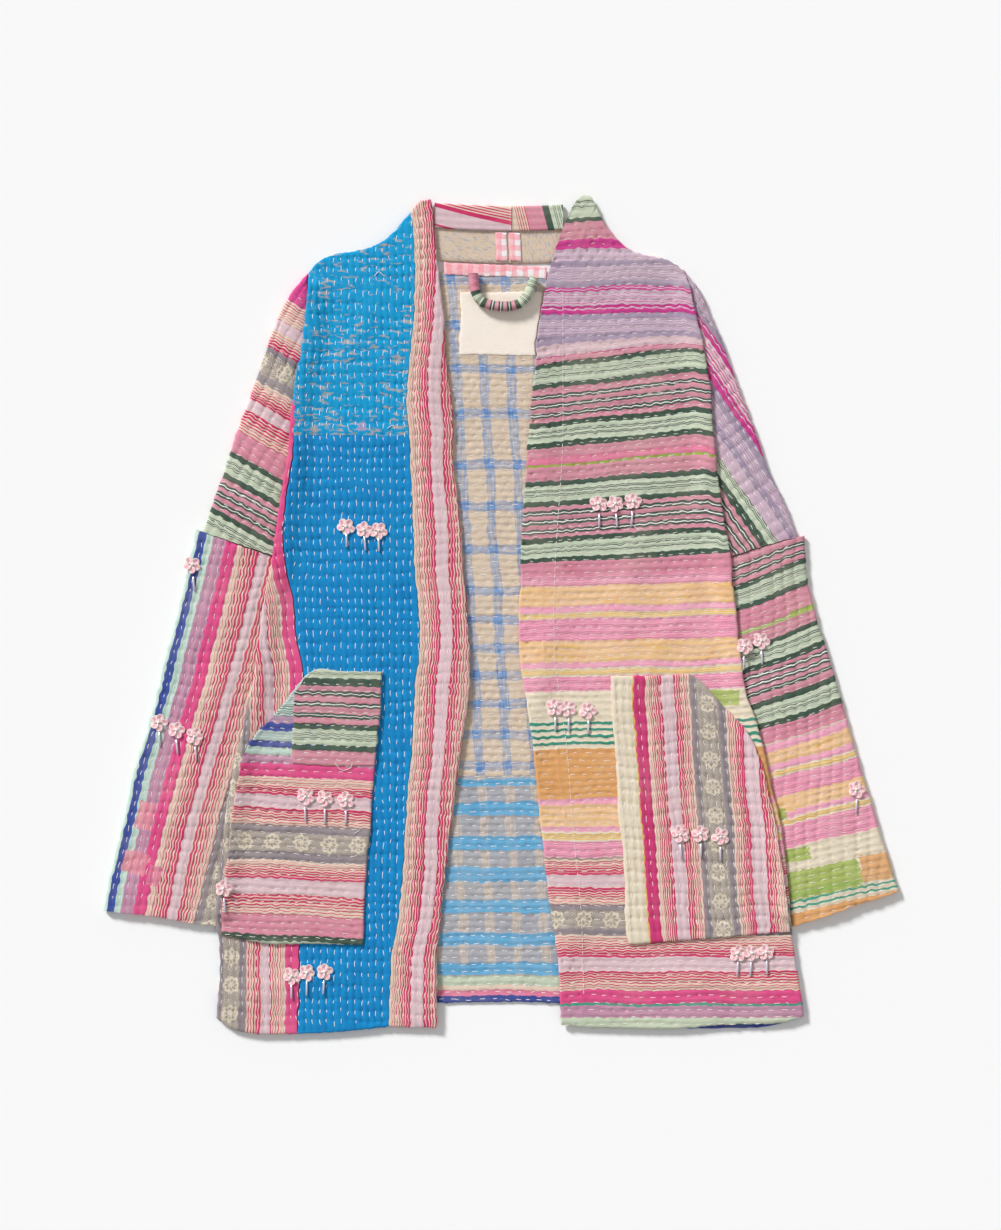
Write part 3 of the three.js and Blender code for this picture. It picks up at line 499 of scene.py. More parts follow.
def new_object(name, points, faces, uv, material):
    """A mesh object from cut places in mm; uv is in mm of cloth."""
    mesh = bpy.data.meshes.new(name)
    mesh.from_pydata(in_metres(points).tolist(), [], faces)
    layer = mesh.uv_layers.new(name="Cloth")
    loops = np.empty(len(mesh.loops), np.int32)
    mesh.loops.foreach_get("vertex_index", loops)
    layer.data.foreach_set("uv", (np.asarray(uv, float) * MM)[loops].ravel())
    smooth(mesh)
    mesh.materials.append(material)
    mesh.update()
    return add(name, mesh)


def grid_faces(index):
    a, b, c, d = index[:-1, :-1], index[1:, :-1], index[1:, 1:], index[:-1, 1:]
    return np.stack([a, b, c, d], axis=-1).reshape(-1, 4).tolist()


def spaced(count):
    """Grid lines kept for a plain underside: close at the edges, where cloth rolls, and wide between."""
    near = min(UNDER_EDGE, (count - 1) // 2)
    ends = np.arange(0, near + 1, UNDER_NEAR)
    middle = np.arange(near, count - near, UNDER_WIDE)
    return np.unique(np.concatenate([ends, middle, count - 1 - ends]))


def underside(index):
    """The plain underside of a grid: the points it keeps, with all of the rim, and its faces."""
    rows, columns = spaced(index.shape[0]), spaced(index.shape[1])
    last_row, last_column = index.shape[0] - 1, index.shape[1] - 1
    faces = []
    for r0, r1 in zip(rows[:-1], rows[1:]):
        for c0, c1 in zip(columns[:-1], columns[1:]):
            top = range(c0, c1) if r0 == 0 else [c0]
            right = range(r0, r1) if c1 == last_column else [r0]
            bottom = range(c1, c0, -1) if r1 == last_row else [c1]
            left = range(r1, r0, -1) if c0 == 0 else [r1]
            ring = [index[r0, c] for c in top] + [index[r, c1] for r in right]
            ring += [index[r1, c] for c in bottom] + [index[r, c0] for r in left]
            faces.append(ring)
    return np.unique(np.concatenate(faces)), faces


def rim_height(grid, seams, wall):
    """Height of a cloth's top: rolled over at its free edges, less at sewn ones."""
    run_u = np.pad(np.cumsum(np.linalg.norm(np.diff(grid, axis=1), axis=2), axis=1), ((0, 0), (1, 0)))
    run_v = np.pad(np.cumsum(np.linalg.norm(np.diff(grid, axis=0), axis=2), axis=0), ((1, 0), (0, 0)))
    sides = {"left": run_u, "right": run_u[:, -1:] - run_u, "top": run_v, "bottom": run_v[-1:] - run_v}
    height = np.full(run_u.shape, float(wall))
    for side, distance in sides.items():
        base, radius = (SEAM_BASE, SEAM_ROLL) if side in seams else (EDGE_BASE, EDGE_STEPS[-1])
        part = np.clip(distance / radius, 0, 1)
        height = np.minimum(height, wall * (base + (1 - base) * np.sqrt(1 - (1 - part) ** 2)))
    return height, np.minimum.reduce(list(sides.values()))


class Cloth:
    """One laid panel: its grid, its cloth coordinates and its top surface, kept for what is sewn on it."""

    def __init__(
        self, name, edges, floor, wall, coordinates, seed, material,
        lifted=True, quilted=True, seams=(), stagger=0, shown=None,
    ):
        width = max(length(edges["top"]), length(edges["bottom"]))
        height = max(length(edges["left"]), length(edges["right"]))
        u = shares_of(width, shown=shown)
        grid = fill(edges["top"], edges["bottom"], edges["left"], edges["right"], u, shares_of(height))
        self.name, self.seed, self.stagger = name, seed, stagger
        self.x, self.y = grid[..., 0], grid[..., 1]
        self.along, self.across = coordinates(self)
        lift = billow(self.x, self.y) if lifted else np.zeros_like(self.x)
        top, distance = rim_height(grid, seams, wall + (SWELL if quilted else 0))
        depth = quilting(self.x, self.y, self.along, self.across, seed, stagger) if quilted else 0.0
        self.z = floor + lift + top + depth * np.clip(distance / FLAT_EDGE, 0, 1)
        self.x, self.y = wobble(self.x, self.y)
        self.area = float(cell_areas(grid).sum()) * MM * MM
        self.size = (width * MM, height * MM)
        rows, columns = self.x.shape
        index = np.arange(rows * columns).reshape(rows, columns)
        rim = np.concatenate([index[:-1, 0], index[-1, :-1], index[:0:-1, -1], index[0, :0:-1]])
        under, below = underside(index)
        points = np.column_stack([self.x.ravel(), self.y.ravel(), self.z.ravel()])
        foot = points[under].copy()
        foot[:, 2] = floor + lift.ravel()[under]
        foot_index = np.full(len(points), -1)
        foot_index[under] = np.arange(len(under)) + len(points)
        uv = self.cloth_map()
        after = np.roll(rim, -1)
        faces = grid_faces(index)
        faces += np.stack([rim, foot_index[rim], foot_index[after], after], axis=-1).tolist()
        faces += [[int(foot_index[i]) for i in ring] for ring in below]
        points, uv = np.vstack([points, foot]), np.vstack([uv, uv[under]])
        self.piece = new_object(name, points, faces, uv, material)

    def cloth_map(self):
        """Cloth coordinates of the grid, with the stripes' waver."""
        phase = stitch_phase(self.x, self.y, self.along, 0, self.seed, 0)
        uneven = 1 + 0.6 * waves(self.x, self.y, 30, self.seed + 8)
        waver = STRIPE_WAVE * np.sin(2 * math.pi * phase) * uneven
        return np.column_stack([self.along.ravel(), (self.across + waver).ravel()])

    def top_near(self, x, y, radius):
        """The cloth's height round a place, or nothing if it isn't there."""
        near = (self.x - x) ** 2 + (self.y - y) ** 2 < radius * radius
        return float(np.percentile(self.z[near], 80)) if near.any() else 0.0


def surface_at(cloths, x, y, radius):
    return max(cloth.top_near(x, y, radius) for cloth in cloths.values())


def cell_areas(grid):
    a = grid[1:, 1:] - grid[:-1, :-1]
    b = grid[1:, :-1] - grid[:-1, 1:]
    return np.abs(a[..., 0] * b[..., 1] - a[..., 1] * b[..., 0]) / 2


class Sleeve(Cloth):
    """A flattened tube: quilted above, plain below, folded at both long edges and open at both ends."""

    def __init__(self, name, edges, height, coordinates, seed, material, crown):
        width = max(length(edges["top"]), length(edges["bottom"]))
        run = max(length(edges["left"]), length(edges["right"]))
        u, v = shares_of(width), shares_of(run)
        grid = fill(edges["top"], edges["bottom"], edges["left"], edges["right"], u, v)
        self.name, self.seed, self.stagger = name, seed, 0
        self.x, self.y = grid[..., 0], grid[..., 1]
        self.along, self.across = coordinates(self)
        step = np.linalg.norm(np.diff(grid, axis=1), axis=2)
        across = np.pad(np.cumsum(step, axis=1), ((0, 0), (1, 0)))
        from_fold = np.minimum(across, across[:, -1:] - across)
        half = height / 2
        round_ = np.sqrt(np.clip(half**2 - (half - np.minimum(from_fold, half)) ** 2, 0, None))
        puff = crown * np.sin(math.pi * u)[None, :] * (1 + 0.3 * waves(self.x, self.y, 60, seed + 9))
        depth = quilting(self.x, self.y, self.along, self.across, seed, 0)
        self.z = half + round_ + puff + depth * np.clip(from_fold / FLAT_FOLD, 0, 1)
        self.x, self.y = wobble(self.x, self.y)
        self.area = 2 * float(cell_areas(grid).sum()) * MM * MM
        self.size = (2 * width * MM, run * MM)
        edge = np.arange(len(EDGE_STEPS))
        middle = np.linspace(edge[-1], len(u) - 1 - edge[-1], 8).astype(int)
        under = np.unique(np.concatenate([edge, middle, len(u) - 1 - edge]))[1:-1][::-1]
        ring_x = np.hstack([self.x, self.x[:, under]])
        ring_y = np.hstack([self.y, self.y[:, under]])
        ring_z = np.hstack([self.z, (half - round_)[:, under]])
        map_a, map_b = self.cloth_map().T.reshape(2, *self.x.shape)
        uv = np.stack([np.hstack([m, m[:, under]]) for m in (map_a, map_b)], axis=-1)
        count = ring_x.shape[1]
        stations = np.unique(np.linspace(0, len(v) - 1, 9).astype(int))
        air = half - SLEEVE_WALL
        inset = np.sqrt(np.clip(air**2 - (air - np.clip(from_fold - SLEEVE_WALL, 0, air)) ** 2, 0, None))
        inner_z = np.hstack([half + inset + puff * 0.9, (half - inset)[:, under]])[stations]
        shrink = SLEEVE_WALL / np.maximum(across[:, -1:], 8)
        centre = grid[:, len(u) // 2][:, None, :]
        inner_x = (ring_x + (centre[..., 0] - ring_x) * 2 * shrink)[stations]
        inner_y = (ring_y + (centre[..., 1] - ring_y) * 2 * shrink)[stations]
        outer = np.stack([ring_x, ring_y, ring_z], axis=-1).reshape(-1, 3)
        inner = np.stack([inner_x, inner_y, inner_z], axis=-1).reshape(-1, 3)
        a = np.arange(len(outer)).reshape(-1, count)
        b = np.arange(len(inner)).reshape(-1, count) + len(outer)
        loop = np.hstack([a, a[:, :1]])
        loop_in = np.hstack([b, b[:, :1]])
        faces = grid_faces(loop) + [f[::-1] for f in grid_faces(loop_in)]
        faces += grid_faces(np.vstack([loop_in[:1], loop[:1]]))
        faces += grid_faces(np.vstack([loop[-1:], loop_in[-1:]]))
        uv = np.vstack([uv.reshape(-1, 2), uv[stations].reshape(-1, 2)])
        self.piece = new_object(name, np.vstack([outer, inner]), faces, uv, material)


# Materials

def graded(width, ground, line, start, end, count):
    """Fine lines that grow or thin out across a stripe: start and end are their share of the cloth."""
    rows, step = [], width / count
    for i in range(count):
        share = start + (end - start) * (i + 0.5) / count
        rows += [(step * (1 - share), ground, None), (step * share, line, None)]
    return rows


def stripe_rows(text):
    """A cloth's stripes as (width, dye, dye of its fine lines)."""
    rows = []
    for stripe in text.split(", "):
        first, *rest = stripe.split()
        if first in GROUPS:
            rows += stripe_rows(GROUPS[first])
        elif first == "graded":
            width, dyes, start, end, count = rest
            rows += graded(float(width), *dyes.split("/"), float(start), float(end), int(count))
        elif first in SHADINGS:
            width, count = rest
            rows += graded(float(width), "beige", "red", *SHADINGS[first], int(count))
        else:
            ground, _, line = rest[0].partition("/")
            rows.append((float(first), ground, line or None))
    return rows


def dye(name):
    """A dye as a linear colour."""
    code = DYES[name]
    channels = [int(code[i : i + 2], 16) / 255 for i in (0, 2, 4)]
    return [c / 12.92 if c <= 0.04045 else ((c + 0.055) / 1.055) ** 2.4 for c in channels] + [1.0]


class Shader:
    """A material's node tree, with short calls for what the cloths share."""

    def __init__(self, name):
        self.material = bpy.data.materials.new(name)
        self.material.use_nodes = True
        self.tree = self.material.node_tree
        self.tree.nodes.clear()
        self.output = self.tree.nodes.new("ShaderNodeOutputMaterial")
        self.surface = self.tree.nodes.new("ShaderNodeBsdfPrincipled")
        self.link(self.surface.outputs["BSDF"], self.output.inputs["Surface"])
        cloth = self.tree.nodes.new("ShaderNodeUVMap")
        cloth.uv_map = "Cloth"
        split = self.tree.nodes.new("ShaderNodeSeparateXYZ")
        self.link(cloth.outputs["UV"], split.inputs[0])
        self.uv = cloth.outputs["UV"]
        self.along, self.across = split.outputs["X"], split.outputs["Y"]

    def link(self, a, b):
        self.tree.links.new(a, b)

    def put(self, value, socket):
        if isinstance(value, bpy.types.NodeSocket):
            self.link(value, socket)
        else:
            socket.default_value = value

    def math(self, operation, a, b=0.0, c=0.0):
        node = self.tree.nodes.new("ShaderNodeMath")
        node.operation = operation
        for value, socket in zip((a, b, c), node.inputs):
            self.put(value, socket)
        return node.outputs[0]

    def mix(self, factor, a, b, blend="MIX"):
        node = self.tree.nodes.new("ShaderNodeMix")
        node.data_type = "RGBA"
        node.blend_type = blend
        self.put(factor, node.inputs[0])
        self.put(a, node.inputs[6])
        self.put(b, node.inputs[7])
        return node.outputs[2]

    def noise(self, scale, detail=3.0, vector=None, rough=0.5):
        node = self.tree.nodes.new("ShaderNodeTexNoise")
        node.inputs["Scale"].default_value = scale
        node.inputs["Detail"].default_value = detail
        node.inputs["Roughness"].default_value = rough
        self.link(vector if vector is not None else self.uv, node.inputs["Vector"])
        return node.outputs["Fac"]

    def stretched(self, x, y):
        node = self.tree.nodes.new("ShaderNodeMapping")
        node.inputs["Scale"].default_value = (x, y, 1.0)
        self.link(self.uv, node.inputs["Vector"])
        return node.outputs[0]

    def ramp(self, value, stops, constant=False):
        node = self.tree.nodes.new("ShaderNodeValToRGB")
        ramp = node.color_ramp
        ramp.interpolation = "CONSTANT" if constant else "LINEAR"
        while len(ramp.elements) > 1:
            ramp.elements.remove(ramp.elements[-1])
        ramp.elements[0].position, ramp.elements[0].color = stops[0]
        for place, color in stops[1:]:
            ramp.elements.new(place).color = color
        self.link(value, node.inputs[0])
        return node.outputs["Color"]

    def step(self, value, low, high):
        """From black at low to white at high."""
        return self.ramp(value, [(low, (0, 0, 0, 1)), (high, (1, 1, 1, 1))])

    def stripes(self, value, rows, column):
        """The dye of the stripe at value, which is in metres; column 1 is the ground, 2 its fine lines."""
        color, start = None, 0.0
        for first in range(0, len(rows), 30):
            part = rows[first : first + 30]
            size = sum(row[0] for row in part)
            stops, run = [], 0.0
            for row in part:
                stops.append((run / size, dye(row[column] or row[1])))
                run += row[0]
            share = self.math("MULTIPLY_ADD", value, 1 / (size * MM), -start / size)
            here = self.ramp(share, stops, constant=True)
            if color is None:
                color = here
            else:
                color = self.mix(self.math("GREATER_THAN", value, start * MM), color, here)
            start += size
        return color

    def finish(self, color, height, bump=0.45, distance=0.0004, roughness=0.85, sheen=0.06):
        """Connects a cloth's colour and its weave."""
        surface = self.surface
        self.put(color, surface.inputs["Base Color"])
        surface.inputs["Roughness"].default_value = roughness
        surface.inputs["Sheen Weight"].default_value = sheen
        surface.inputs["Sheen Roughness"].default_value = 0.5
        surface.inputs["Specular IOR Level"].default_value = 0.25
        node = self.tree.nodes.new("ShaderNodeBump")
        node.inputs["Strength"].default_value = bump
        node.inputs["Distance"].default_value = distance
        self.link(height, node.inputs["Height"])
        self.link(node.outputs[0], surface.inputs["Normal"])
        return self.material


def weave_height(shader, threads=900.0):
    """Plain weave: threads that pass over and under, with soft slubs."""
    u = shader.math("SINE", shader.math("MULTIPLY", shader.along, threads * math.pi))
    v = shader.math("SINE", shader.math("MULTIPLY", shader.across, threads * math.pi))
    slubs = shader.noise(1.0, 4.0, shader.stretched(150, 900))
    crumple = shader.math("MULTIPLY_ADD", shader.noise(240.0, 3.0), 2.2, slubs)
    return shader.math("MULTIPLY_ADD", shader.math("MULTIPLY", u, v), 0.35, crumple)


def worn(shader, color, fade="cream", amount=0.14, blotch=22.0):
    """Washed cloth: uneven thread by thread, paler where it is rubbed and deeper elsewhere."""
    thread = shader.noise(1.0, 5.0, shader.stretched(120, 1500), 0.65)
    grain = shader.ramp(thread, [(0.28, (0.24, 0.24, 0.24, 1)), (0.72, (0.78, 0.78, 0.78, 1))])
    color = shader.mix(0.55, color, grain, "SOFT_LIGHT")
    rubbed = shader.step(shader.noise(blotch, 5.0), 0.46, 0.76)
    color = shader.mix(shader.math("MULTIPLY", rubbed, amount), color, dye(fade))
    deep = shader.step(shader.noise(blotch * 2.3, 3.0), 0.48, 0.74)
    color = shader.mix(shader.math("MULTIPLY", deep, 0.22), color, color, "MULTIPLY")
    flecks = shader.step(shader.noise(1.0, 2.0, shader.stretched(500, 900)), 0.68, 0.78)
    return shader.mix(shader.math("MULTIPLY", flecks, 0.14), color, dye(fade))


def patched(shader, color, patches):
    """Small patches and darns: turned rectangles with soft ragged edges."""
    here = shader.tree.nodes.new("ShaderNodeTexCoord").outputs["Object"]
    ragged = shader.math("MULTIPLY_ADD", shader.noise(240.0, 2.0), 0.5, -0.25)
    for x, y, half_x, half_y, turn, name in patches:
        node = shader.tree.nodes.new("ShaderNodeMapping")
        node.vector_type = "TEXTURE"
        node.inputs["Location"].default_value = in_metres((x, y, 0))
        node.inputs["Rotation"].default_value = (0, 0, math.radians(turn))
        node.inputs["Scale"].default_value = (half_x * MM, half_y * MM, 1)
        shader.link(here, node.inputs["Vector"])
        split = shader.tree.nodes.new("ShaderNodeSeparateXYZ")
        shader.link(node.outputs[0], split.inputs[0])
        sides = [shader.math("ABSOLUTE", split.outputs[axis]) for axis in ("X", "Y")]
        reach = shader.math("ADD", shader.math("MAXIMUM", *sides), ragged)
        inside = shader.math("LESS_THAN", reach, 1.0)
        color = shader.mix(shader.math("MULTIPLY", inside, 0.85), color, dye(name))
    return color


def striped_cloth(name, stripes, patches=()):
    """Woven stripes across the cloth, with fine lines in some and a printed flower on the floral one."""
    s, rows = Shader(name), stripe_rows(stripes)
    wander = s.math("MULTIPLY_ADD", s.noise(14.0, 2.0), 2 * STRIPE_DRIFT * MM, -STRIPE_DRIFT * MM)
    place = s.math("ADD", s.across, wander)
    ground = s.stripes(place, rows, 1)
    lines = s.stripes(place, rows, 2)
    beat = s.math("FRACT", s.math("MULTIPLY", place, 1 / (FINE_PITCH * MM)))
    color = s.mix(s.math("MULTIPLY", s.math("GREATER_THAN", beat, 0.6), 0.8), ground, lines)
    if any(row[1] == "floral" for row in rows):
        color = s.mix(s.math("MULTIPLY", florals(s, place, rows), 0.8), color, dye("cream"))
    if any(row[1] == "slub" for row in rows):
        color = s.mix(s.math("MULTIPLY", slubs(s, place, rows), 0.75), color, dye("yellow"))
    return s.finish(worn(s, patched(s, color, patches)), weave_height(s))


def found(s, place, rows, name):
    """1 on the stripes of a dye, and how far each place there is from its stripe's middle."""
    start, centre, inside = 0.0, 0.0, 0.0
    for width, ground, _ in rows:
        if ground == name:
            here = s.math("COMPARE", place, (start + width / 2) * MM, width / 2 * MM)
            centre = s.math("MULTIPLY_ADD", here, (start + width / 2) * MM, centre)
            inside = s.math("ADD", inside, here)
        start += width
    return inside, s.math("SUBTRACT", place, centre)


def florals(s, place, rows):
    """A pale daisy over and over down the stripe, with fine slanting lines between."""
    inside, off = found(s, place, rows, "floral")
    aside = s.math("DIVIDE", off, FLOWER_PRINT * MM)
    beat = s.math("SUBTRACT", s.math("FRACT", s.math("DIVIDE", s.along, FLOWER_PITCH * MM)), 0.5)
    down = s.math("MULTIPLY", beat, FLOWER_PITCH / FLOWER_PRINT)
    reach = s.math("SQRT", s.math("MULTIPLY_ADD", down, down, s.math("MULTIPLY", aside, aside)))
    petals = s.math("COSINE", s.math("MULTIPLY", s.math("ARCTAN2", aside, down), 8.0))
    flower = s.math("LESS_THAN", reach, s.math("MULTIPLY_ADD", petals, 0.05, 0.5))
    ring = s.math("COMPARE", reach, 0.25, s.math("MULTIPLY_ADD", petals, 0.07, 0.07))
    cross = s.math("ADD", s.along, s.math("ABSOLUTE", off))
    lines = s.math("GREATER_THAN", s.math("FRACT", s.math("DIVIDE", cross, 2.4 * MM)), 0.5)
    pale = s.math("MAXIMUM", s.math("SUBTRACT", flower, ring), s.math("MULTIPLY", lines, 0.5))
    return s.math("MULTIPLY", inside, pale)


def slubs(s, place, rows):
    """Thick uneven threads that run along the slub stripes."""
    inside, _ = found(s, place, rows, "slub")
    thick = s.step(s.noise(1.0, 4.0, s.stretched(26, 420), 0.6), 0.48, 0.66)
    return s.math("MULTIPLY", inside, thick)


def blue_cloth():
    """Indigo cotton: worn and flecked above the yoke line, deeper below it."""
    s = Shader("blue_cotton")
    upper = s.math("LESS_THAN", s.along, YOKE * MM)
    color = s.mix(upper, dye("blue"), dye("worn_blue"))
    rub = s.noise(1.0, 4.0, s.stretched(300, 90), 0.62)
    low = s.math("GREATER_THAN", s.along, RUBBED * MM)
    cluster = s.math("MULTIPLY_ADD", s.noise(20.0, 2.0), 0.36, -0.18)
    place = s.math("ADD", s.math("MULTIPLY_ADD", low, 0.06, rub), cluster)
    scraped = s.step(place, 0.575, 0.625)
    bare = s.mix(s.noise(1.0, 2.0, s.stretched(90, 700)), dye("stone"), dye("inner_beige"))
    color = s.mix(s.math("MULTIPLY", scraped, s.math("MULTIPLY", upper, 0.8)), color, bare)
    cloudy = s.noise(9.0, 4.0)
    color = s.mix(s.math("MULTIPLY", cloudy, 0.15), color, dye("turquoise"))
    return s.finish(worn(s, patched(s, color, [DARN]), "worn_blue", 0.2, 30.0), weave_height(s))


def check_cloth():
    """The back's inside: soft bands both ways, deep blue where they cross, on a pale ground."""
    s = Shader("inside_check")
    rag = s.math("MULTIPLY_ADD", s.noise(60.0, 4.0), 6 * MM, -3 * MM)
    down = s.math("ADD", s.across, rag)
    lower = s.math("GREATER_THAN", s.across, CHECK_STEP * MM)
    level, turquoise = 0.0, 0.0
    for middle in BLUE_ROWS:
        level = s.math("MAXIMUM", level, s.math("COMPARE", down, middle * MM, CHECK_BAND / 2 * MM))
    for start, width in TURQUOISE_ROWS:
        here = s.math("COMPARE", down, (start + width / 2) * MM, width / 2 * MM)
        turquoise = s.math("MAXIMUM", turquoise, here)
    beat = s.math("FRACT", s.math("DIVIDE", s.math("ADD", s.along, rag), CHECK_PITCH * MM))
    upright = s.math("COMPARE", beat, 0.5, CHECK_BAND / CHECK_PITCH / 2)
    level = s.math("MULTIPLY", level, s.ramp(s.noise(1.0, 3.0, s.stretched(50, 700)), STREAKS))
    upright = s.math("MULTIPLY", upright, s.ramp(s.noise(1.0, 3.0, s.stretched(700, 50)), STREAKS))
    color = s.mix(s.math("MULTIPLY", level, 0.65), dye("inner_beige"), dye("band_blue"))
    color = s.mix(s.math("MULTIPLY", upright, 0.65), color, dye("band_blue"))
    color = s.mix(s.math("MULTIPLY", s.math("MULTIPLY", level, upright), 0.8), color, dye("inner_blue"))
    low = s.mix(s.math("MULTIPLY", upright, 0.7), dye("grey_blue"), dye("inner_beige"))
    low = s.mix(s.math("MULTIPLY", turquoise, 0.75), low, dye("turquoise"))
    color = s.mix(lower, color, low)
    hem = s.math("SUBTRACT", s.across, HEM_START * MM)
    color = s.mix(s.math("GREATER_THAN", hem, 0.0), color, s.stripes(hem, stripe_rows(HEM_CLOTH), 1))
    spots = s.step(s.noise(1.0, 3.0, s.stretched(520, 260), 0.6), 0.58, 0.68)
    color = s.mix(s.math("MULTIPLY", spots, 0.35), color, dye("band_blue"))
    return s.finish(worn(s, color), weave_height(s))


def stand_cloth():
    """The collar's stand: beige with woven blue flecks."""
    s = Shader("stand_cotton")
    spots = s.step(s.noise(1.0, 3.0, s.stretched(200, 480), 0.6), 0.54, 0.62)
    color = s.mix(s.math("MULTIPLY", spots, 0.55), dye("inner_beige"), dye("band_blue"))
    return s.finish(worn(s, color), weave_height(s))


def gingham():
    """Woven check of pink and white, darker where the bands cross."""
    s = Shader("gingham")
    color = dye("white")
    for axis in (s.along, s.across):
        beat = s.math("FRACT", s.math("MULTIPLY", axis, 1 / (GINGHAM_PITCH * MM)))
        band = s.math("LESS_THAN", beat, 0.5)
        color = s.mix(s.math("MULTIPLY", band, 0.6), color, dye("gingham_pink"))
    return s.finish(worn(s, color, "white", 0.1), weave_height(s))


def plain_cloth(name, color, roughness=0.8):
    s = Shader(name)
    return s.finish(worn(s, dye(color), "white", 0.12), weave_height(s), roughness=roughness)


def thread_color(name, color):
    """Cotton thread: matt, its twist seen as fine unevenness."""
    s = Shader(name)
    tone = s.mix(s.noise(700.0, 2.0), dye(color), dye("white"))
    s.link(tone, s.surface.inputs["Base Color"])
    s.surface.inputs["Roughness"].default_value = 0.75
    return s.material


def bright(name, color, highlight, roughness, metallic=0.0, dimple=False):
    """Sequins and beads: glossy, with painted highlight in patches and, on the sequins, a painted highlight
    round the rim; the sequins with a hole in the middle.
    """
    s = Shader(name)
    # Painted highlight: patches of the highlight dye laid into the base colour
    tone = s.mix(s.step(s.noise(330.0, 2.0), 0.35, 0.65), dye(color), dye(highlight))
    if dimple:
        square = s.math("MULTIPLY_ADD", s.along, s.along, s.math("MULTIPLY", s.across, s.across))
        reach = s.math("SQRT", square)
        # Painted highlight round the sequin's raised rim
        tone = s.mix(s.math("GREATER_THAN", reach, PETAL_SIZE * 0.43 * MM), tone, dye(highlight))
        tone = s.mix(s.math("LESS_THAN", reach, 0.5 * MM), tone, dye("rose"))
    s.link(tone, s.surface.inputs["Base Color"])
    s.surface.inputs["Roughness"].default_value = roughness
    s.surface.inputs["Metallic"].default_value = metallic
    s.surface.inputs["Coat Weight"].default_value = 0.4
    return s.material


# Cloth coordinates: how each panel was cut from its cloth, along and across its stripes

def down_from(top):
    """Blue cloth: stitched down the garment, with its rows counted from the left."""
    return lambda c: (top - c.y, c.x + 300)


def inside_checks(c):
    """The back: stitched across, its upright bands leaning a little and counted from a band's middle."""
    down = 318 - c.y
    return c.x + 40 - 0.06 * (down - 102) + CHECK_PITCH * 12.5, down


def across_garden(c):
    """The right front's stripes climb towards the armhole, and bend down where they meet its seam."""
    tilt = np.interp(c.y, *GARDEN_TILT)
    armhole = np.interp(c.y, *body_line(BODY_R)) - c.x
    bend = 4 * np.clip(1 - armhole / 14, 0, 1) ** 2 * (c.y > 60)
    return c.x + 300, 385 - c.y + tilt * (c.x - 110) - bend


def down_right_sleeve(c):
    """Stripes that climb outwards, less so towards the hand."""
    tilt = np.interp(c.y, *SLEEVE_TILT)
    return c.x + 300, 70 - c.y + tilt * (c.x - 266)


def from_left(c):
    """Stripes that run down, counted from the panel's left edge."""
    return 400 - c.y, c.x - c.x[:, :1]


def from_right(c):
    return 400 - c.y, c.x[:, -1:] - c.x


def from_cuff_edge(c):
    """Stripes that run down, counted from the sleeve's outer fold and a little wide."""
    return 400 - c.y, (c.x - c.x[:, :1]) * 0.97


def from_pocket_edge(c):
    """The right pocket: stripes that run down beside its slanting left edge."""
    edge = sorted((y, x) for x, y in POCKET_R["left"])
    return 400 - c.y, c.x - np.interp(c.y, *zip(*edge))


def level(left):
    """Cloth laid straight, counted from its left edge."""
    return lambda c: (c.x - left, 400 - c.y)


def along_tape(c):
    """The neck tape: one row of checks along it."""
    return c.x + 100, 0.4 * (c.y - 290) - 0.02 * c.x


def tilted(top, tilt):
    return lambda c: (c.x + 300, top - c.y - tilt * (c.x + 250))


def turned(start, direction):
    """Stripes square to a direction, counted from a place."""
    d = np.asarray(direction, float) / np.linalg.norm(direction)

    def coordinates(c):
        dx, dy = c.x - start[0], c.y - start[1]
        return dx * -d[1] + dy * d[0] + 300, dx * d[0] + dy * d[1]

    return coordinates


def declare(cloth, nodes, slot):
    """Every cloth rides on the body, takes its finish slot and stands for its solids; the size of its cut
    is worked out and not used.
    """
    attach(cloth.piece, BODY)
    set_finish(cloth.piece, slot)
    if nodes:
        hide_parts(*nodes)
    width, run = cloth.size
    area = min(cloth.area, width * run)
    max(run, area / width)


